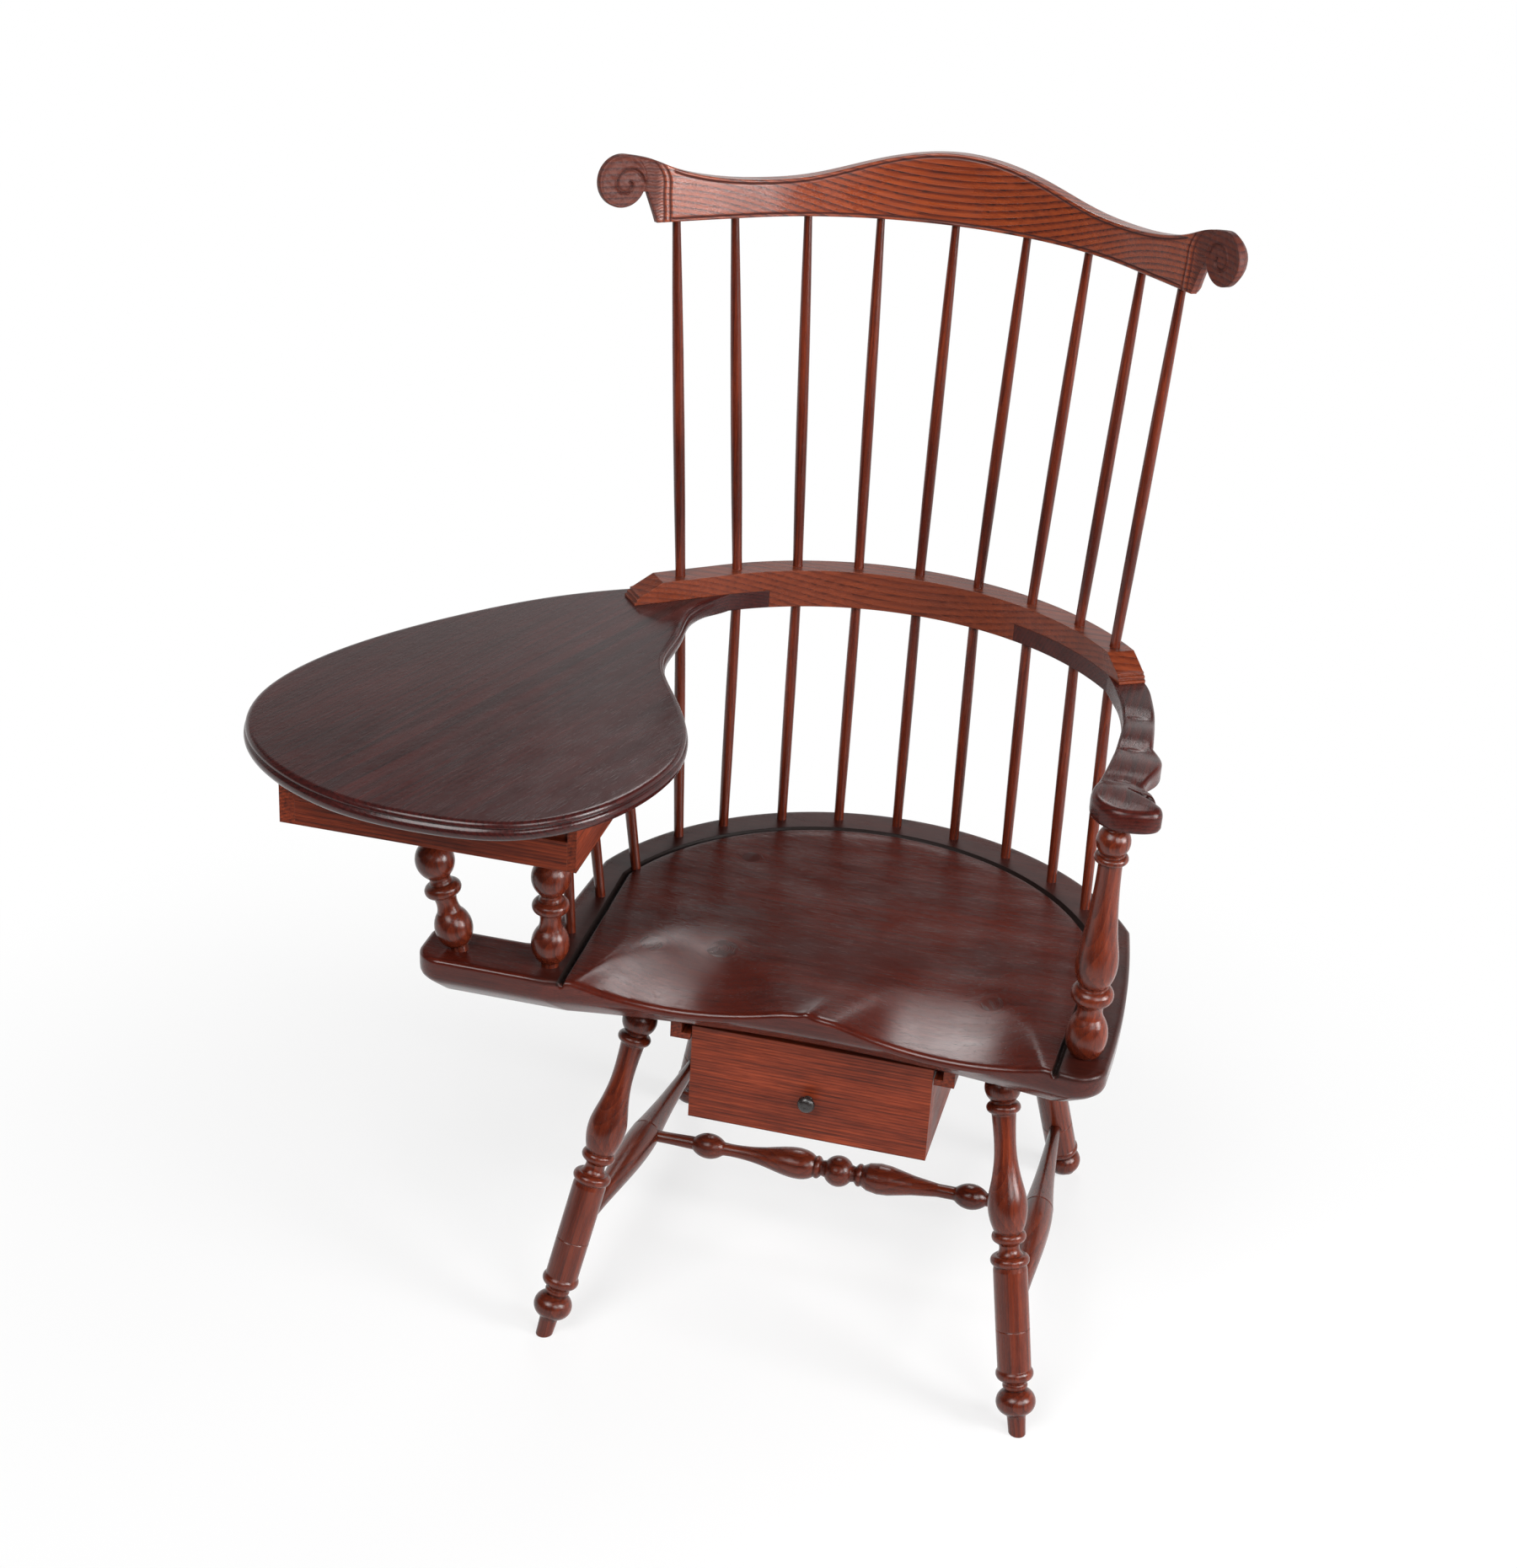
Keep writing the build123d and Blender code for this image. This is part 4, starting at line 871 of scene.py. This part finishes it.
def makeTablet():
    step = 2.0
    centre, inner, outer = railRing["centre"], railRing["inner"], railRing["outer"]
    innerArc = arcLine(centre, inner, railRing["seamLeft"], -38.0, step)
    outerArc = arcLine(centre, outer, railRing["seamLeft"], -36.0, step)
    rim = smoothLine([innerArc[-1]] + tablet["edge"] + [outerArc[-1]], step)
    loop = closedLoop([innerArc, rim, outerArc[::-1], straightLine(outerArc[0], innerArc[0], step)])
    away = np.minimum(edgeDistance(loop, innerArc, False), edgeDistance(loop, outerArc, False))
    moulded = easeIn(away, 4.0, 45.0)[:, None]
    out = outwardOf(loop)
    rings = [loop - out * moulded * inset for inset, _ in tablet["rim"]]
    first = rings[0]
    inners = np.vstack([rowsBeside(first, [0.12, 0.5, 1.1, 2.0, 3.1, 4.4, 6.0]), gridIn(first, 9.0, 8.0)])
    drops = [drop for _, drop in tablet["rim"]]
    level = moulded[:, 0]

    def topOf(points):
        edge = edgeDistance(points, first)
        way = np.minimum(edgeDistance(points, innerArc, False), edgeDistance(points, outerArc, False))
        share = easeIn(way, 4.0, 45.0)
        return tablet["top"] - 0.05 - share * eased(edge, tablet["topRound"])

    def heights(top, low):
        plain = [0.0, 1.0, 2.0, 4.0, 6.0, 8.0, 11.0, 13.0, 15.5, 17.5, 19.0]
        return [tablet["top"] - 0.05 - (level * drop + (1 - level) * other)
                for drop, other in zip(drops[1:-1], plain[1:-1])]

    board = carvedBoard("writingTablet", rings, inners, gridIn(rings[-1], 14.0, 6.0), topOf,
                        lambda p: np.full(len(p), tablet["under"]), heights, flatBend)
    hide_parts("tablet")
    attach(board, "frame")
    return board


# ---- the saddled seat
seat = {
    "top": 430.0,  # millimetres
    "under": 386.0,
    "backCentre": (8.0, -77.0),
    "backRadius": 304.0,
    "joinLeft": 20.0,
    "joinRight": 60.0,
    "halfWidth": 294.0,
    "front": -236.0,
    "frontMiddle": -214.0,
    "wingEnd": -400.0,
    "wingBack": -170.0,
    "edgeRound": 4.5,
    "bowlDeep": 6.0,
    "bowlHalf": 236.0,
    "troughRadius": 330.0,
    "troughs": (112.0, 126.0),
    "gutterCentre": (2.0, -82.0),
    "gutterRadius": 264.5,
    "gutterHalf": 245.5,
    "gutterWide": 3.3,
    "gutterDeep": 4.2,
    # steps down the edge: in from the widest line, and the height
    "edge": [(0.0, 426.0), (0.0, 423.0), (0.0, 416.0), (0.3, 410.0), (1.6, 406.0), (5.0, 401.5), (11.0, 395.5),
             (17.0, 389.8), (20.0, 387.0), (22.0, 386.0)],
}


def threePointArc(start, middle, end, count):
    (ax, ay), (bx, by), (cx, cy) = start, middle, end
    d = 2 * (ax * (by - cy) + bx * (cy - ay) + cx * (ay - by))
    ux = ((ax ** 2 + ay ** 2) * (by - cy) + (bx ** 2 + by ** 2) * (cy - ay) + (cx ** 2 + cy ** 2) * (ay - by)) / d
    uy = ((ax ** 2 + ay ** 2) * (cx - bx) + (bx ** 2 + by ** 2) * (ax - cx) + (cx ** 2 + cy ** 2) * (bx - ax)) / d
    first = math.atan2(ay - uy, ax - ux)
    span = math.atan2(cy - uy, cx - ux) - first
    turn = math.atan2(by - uy, bx - ux) - first
    span, turn = span % (2 * math.pi), turn % (2 * math.pi)
    if turn > span:
        span -= 2 * math.pi
    angle = first + np.linspace(0, span, count + 1)
    radius = math.hypot(ax - ux, ay - uy)
    return np.c_[ux + radius * np.cos(angle), uy + radius * np.sin(angle)]


def seatLoop(inset):
    r = seat["backRadius"] - inset
    cx, cy = seat["backCentre"]
    left = (cx - math.sqrt(r ** 2 - (seat["joinLeft"] - cy) ** 2), seat["joinLeft"])
    right = (cx + math.sqrt(r ** 2 - (seat["joinRight"] - cy) ** 2), seat["joinRight"])
    half = seat["halfWidth"] - inset
    front = seat["front"] + inset
    end = seat["wingEnd"] + inset
    back = seat["wingBack"] - inset
    side = -seat["halfWidth"] + 4.0 + inset
    k = 1.0 - inset / 40.0

    def line(a, b, count):
        return np.array(a) + (np.array(b) - np.array(a)) * np.linspace(0, 1, count + 1)[:, None]

    runs = [
        threePointArc(left, (cx, cy + r), right, 340),
        threePointArc(right, (half - 0.5, -75.0), (half, front + 30.0), 80),
        threePointArc((half, front + 30.0), (half - 8.0, front + 9.0), (half - 30.0, front), 18),
        threePointArc((half - 30.0, front), (0, seat["frontMiddle"] + inset), (-half + 30.0, front), 210),
        line((-half + 30.0, front), (end + 26.0 * k, front), 42),
        threePointArc((end + 26.0 * k, front), (end + 6.0 * k, front + 9.0 * k), (end, front + 26.0 * k), 16),
        line((end, front + 26.0 * k), (end, back - 14.0 * k), 14),
        threePointArc((end, back - 14.0 * k), (end + 4.0 * k, back - 4.0 * k), (end + 14.0 * k, back), 12),
        line((end + 14.0 * k, back), (side - 14.0, back), 36),
        threePointArc((side - 14.0, back), (side - 4.0, back + 4.0), (side, back + 14.0), 10),
        line((side, back + 14.0), left, 58),
    ]
    return np.vstack([run[:-1] for run in runs])[::-1]


def makeSeat():
    rings = [seatLoop(inset) for inset, _ in seat["edge"]]
    loop = rings[0]
    cx, cy = seat["gutterCentre"]
    radius, half = seat["gutterRadius"], seat["gutterHalf"]
    reach = math.sqrt(radius ** 2 - cy ** 2)
    low = seat["front"] - 20.0
    start = math.degrees(math.atan2(-reach, 0 - cy))
    bow = arcLine((cx, cy), radius, start, -start, 2.5)
    gutter = np.vstack([straightLine((-half, low), (cx - reach, 0), 2.5)[:-1], bow,
                        straightLine((cx + reach, 0), (half, low), 2.5)[1:]])
    dishLoop = closedLoop([gutter, straightLine((half, low), (-half, low), 3.0)])
    out = outwardOf(gutter)
    out[0], out[-1] = out[1], out[-2]
    beside = np.vstack([gutter + out * off for off in (-4.4, -3.3, -2.4, -1.2, 0, 1.2, 2.4, 3.3, 4.4)])
    beside = beside[insideOf(beside, loop)]
    beside = beside[edgeDistance(beside, loop) > 1.0]
    grid = gridIn(loop, 4.2, 6.0)
    grid = grid[edgeDistance(grid, gutter, False) > 5.6]
    near = rowsBeside(loop, [0.15, 0.6, 1.5, 2.8, 4.5])
    near = near[edgeDistance(near, gutter, False) > 3.0]
    inner = np.vstack([near, grid, beside])

    def dishOf(points):
        x, y = points.T
        bowlRadius = (seat["bowlHalf"] ** 2 + seat["bowlDeep"] ** 2) / (2 * seat["bowlDeep"])
        bowl = np.sqrt(bowlRadius ** 2 - x ** 2 - (y + 30.0) ** 2) - (bowlRadius - seat["bowlDeep"])
        deep = [bowl]
        r = seat["troughRadius"]
        nearX, farX = seat["troughs"]
        for side in (-1, 1):
            share = np.clip((-20.0 - y) / (-20.0 - seat["front"]), 0, 1.3)
            middle = side * (nearX + (farX - nearX) * share)
            sunk = 1.0 + 19.0 * share ** 1.2
            behind = np.maximum(y + 20.0, 0)
            deep.append(np.sqrt(np.maximum(r ** 2 - (x - middle) ** 2 - behind ** 2, 0)) - (r - sunk))
        soft = 2.0
        total = soft * np.log(sum(np.exp(d / soft) for d in deep) + 1)
        return np.maximum(total - soft * math.log(1 + len(deep)) * np.exp(-total / 3.0), 0)

    def topOf(points):
        inside = insideOf(points, dishLoop)
        gap = edgeDistance(points, gutter, False)
        level = seat["top"] - np.where(inside, dishOf(points) * easeIn(gap, 0.0, 16.0), 0)
        level -= np.where(inside, 0.9 * np.exp(-gap / 5.0), 0)
        level -= seat["gutterDeep"] * np.clip(1 - (gap / seat["gutterWide"]) ** 2, 0, 1)
        # the sharp little ridge of the pommel, dying away into the dish
        x, y = points.T
        ridge = np.exp(-np.abs((x + 2 - 0.28 * (y + 214)) / 8.0) ** 1.4) * np.exp(-((y + 224) / 38.0) ** 2)
        level += 4.2 * ridge * inside
        return level - eased(edgeDistance(points, loop), seat["edgeRound"])

    def heights(top, lowEdge):
        levels = [level for _, level in seat["edge"][1:-1]]
        found = []
        for number, level in enumerate(levels):
            found.append(np.minimum(level, top - 1.0 - number * 1.2))
        return found

    # painted shade: dark in the gutter and fading out beside it, and a painted shadow over the rear deck and the strip
    # under the tablet outside the dish
    def paintedShadeOn(points, height):
        gap = edgeDistance(points[:, :2], gutter, False)
        upper = height > seat["top"] - 5.6
        outside = ~insideOf(points[:, :2], dishLoop) * easeIn(points[:, 0], -285, -270)
        return upper * np.minimum(np.exp(-(gap / 3.2) ** 4) + 0.35 * np.exp(-gap / 12.0) + 0.4 * outside, 1)

    board = carvedBoard("saddledSeat", rings, inner, gridIn(rings[-1], 14.0, 6.0), topOf,
                        lambda p: np.full(len(p), seat["under"]), heights, flatBend, paintedShadeOf=paintedShadeOn)
    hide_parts("seat")
    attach(board, "frame")
    return board


# ---- the carved right arm
hand = {
    "top": 705.0,
    "under": 686.0,
    "swell": 3.4,  # how far the hand-hold stands above the arm
    "inner": [(232.0, 57.0), (245.0, 16.0), (250.0, -11.0), (252.4, -50.0), (252.0, -89.0), (250.0, -127.0),
              (246.0, -157.0), (243.6, -184.0), (247.0, -199.0), (255.5, -211.0)],
    "lobe": [(255.5, -211.0), (267.0, -218.6), (279.0, -221.0), (292.0, -219.6), (304.0, -215.4),
             (311.6, -207.0), (311.6, -198.0), (306.4, -190.5)],
    "tongue": [(304.6, -184.6), (298.6, -169.0), (292.4, -156.5), (289.6, -147.0)],
    "nub": [(289.6, -147.0), (292.2, -134.0), (297.4, -117.0), (299.0, -98.0), (294.0, -80.0), (287.0, -68.0)],
    "outer": [(287.0, -68.0), (283.5, -30.0), (279.0, 8.0), (270.5, 46.0), (261.6, 71.5)],
    "slotFrom": (277.0, -171.5),
    "slotTo": (309.0, -190.0),
    "dishes": [(263.0, -8.0), (268.5, -80.0), (268.0, -153.5)],
    "sweep": 54.0,
}


def makeHand():
    step = 1.5
    centre, inner, outer = railRing["centre"], railRing["inner"], railRing["outer"]
    innerArc = arcLine(centre, inner, railRing["seamRight"], hand["sweep"], step)
    outerArc = arcLine(centre, outer, railRing["seamRight"], hand["sweep"] + 3.0, step)
    slotMouth = straightLine(hand["lobe"][-1], hand["tongue"][0], 0.8)
    outer_ = smoothLine(hand["outer"] + [tuple(outerArc[-1])], step)
    loop = closedLoop([innerArc, smoothLine([tuple(innerArc[-1])] + hand["inner"], step),
                       smoothLine(hand["lobe"], step), slotMouth, smoothLine(hand["tongue"], step),
                       smoothLine(hand["nub"], step), outer_, outerArc[::-1],
                       straightLine(outerArc[0], innerArc[0], step)])
    a, b = np.array(hand["slotFrom"]), np.array(hand["slotTo"])

    def carved(y):
        return easeIn(-y, -60.0, -20.0), easeIn(-y, 135.0, 175.0)

    def topOf(points):
        x, y = points.T
        edge = edgeDistance(points, loop)
        free, grip = carved(y)
        level = hand["top"] - 0.05 + hand["swell"] * grip
        for bx, by in hand["dishes"]:
            level -= free * 2.2 * np.exp(-((y - by) / 17.0) ** 2)
            level -= free * 0.9 * np.exp(-(((x - bx) / 10.0) ** 2 + ((y - by) / 5.0) ** 2) ** 2)
        level -= free * eased(edge, 3.4) + grip * eased(edge, 7.0) * 0.8
        level += grip * 1.2 * easeIn(edge, 0, 22)
        run = b - a
        share = np.clip(((points - a) @ run) / (run @ run), 0, 1)
        off = np.linalg.norm(points - a - share[:, None] * run, axis=1)
        level -= (1.5 + 8.5 * share) * np.exp(-(off / (1.0 + 1.3 * share)) ** 2)
        hollow = np.exp(-(((x - 287.0) / 8.0) ** 2 + ((y + 160.0) / 11.0) ** 2))
        return level - 2.6 * hollow

    def lowOf(points):
        y = points[:, 1]
        free, grip = carved(y)
        edge = edgeDistance(points, loop)
        return hand["under"] + free * eased(edge, 2.0) + grip * eased(edge, 4.5) * 0.8

    inners = np.vstack([rowsBeside(loop, [0.15, 0.6, 1.4, 2.4, 3.6, 5.2, 7.0]), gridIn(loop, 1.9, 8.2)])
    tucked = easeIn(-loop[:, 1], 100, 140) * easeIn(loop[:, 0], 272, 288) * easeIn(loop[:, 1], -205, -185)
    out = outwardOf(loop) * tucked[:, None]
    rings = [loop, loop - out * 0.8, loop - out * 3.0, loop - out * 4.0]
    board = carvedBoard("carvedArm", rings, inners,
                        np.vstack([rowsBeside(rings[-1], [0.4, 1.4, 3.0, 4.6]), gridIn(rings[-1], 8.0, 6.0)]),
                        topOf, lowOf, lambda top, low: [top * 0.7 + low * 0.3, top * 0.3 + low * 0.7], flatBend)
    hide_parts("arm_right")
    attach(board, "frame")
    return board


looksOf = {"seatLook": seatLook, "bentLook": bentLook, "armLook": armLook, "tabletLook": tabletLook}


def dressPiece(piece, nodeName):
    along, lookName, pith = grainOf[nodeName]
    low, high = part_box(nodeName)
    piece.data.materials.append(woodMaterial(nodeName + "Wood", looksOf[lookName], along, (low + high) / 2, pith))


for maker, nodeName in ((makeCrest, "crest_rail"), (makeTablet, "tablet"), (makeSeat, "seat"), (makeHand, "arm_right")):
    dressPiece(maker(), nodeName)
    print(nodeName, "carved")
dressAll()
print("woods applied")
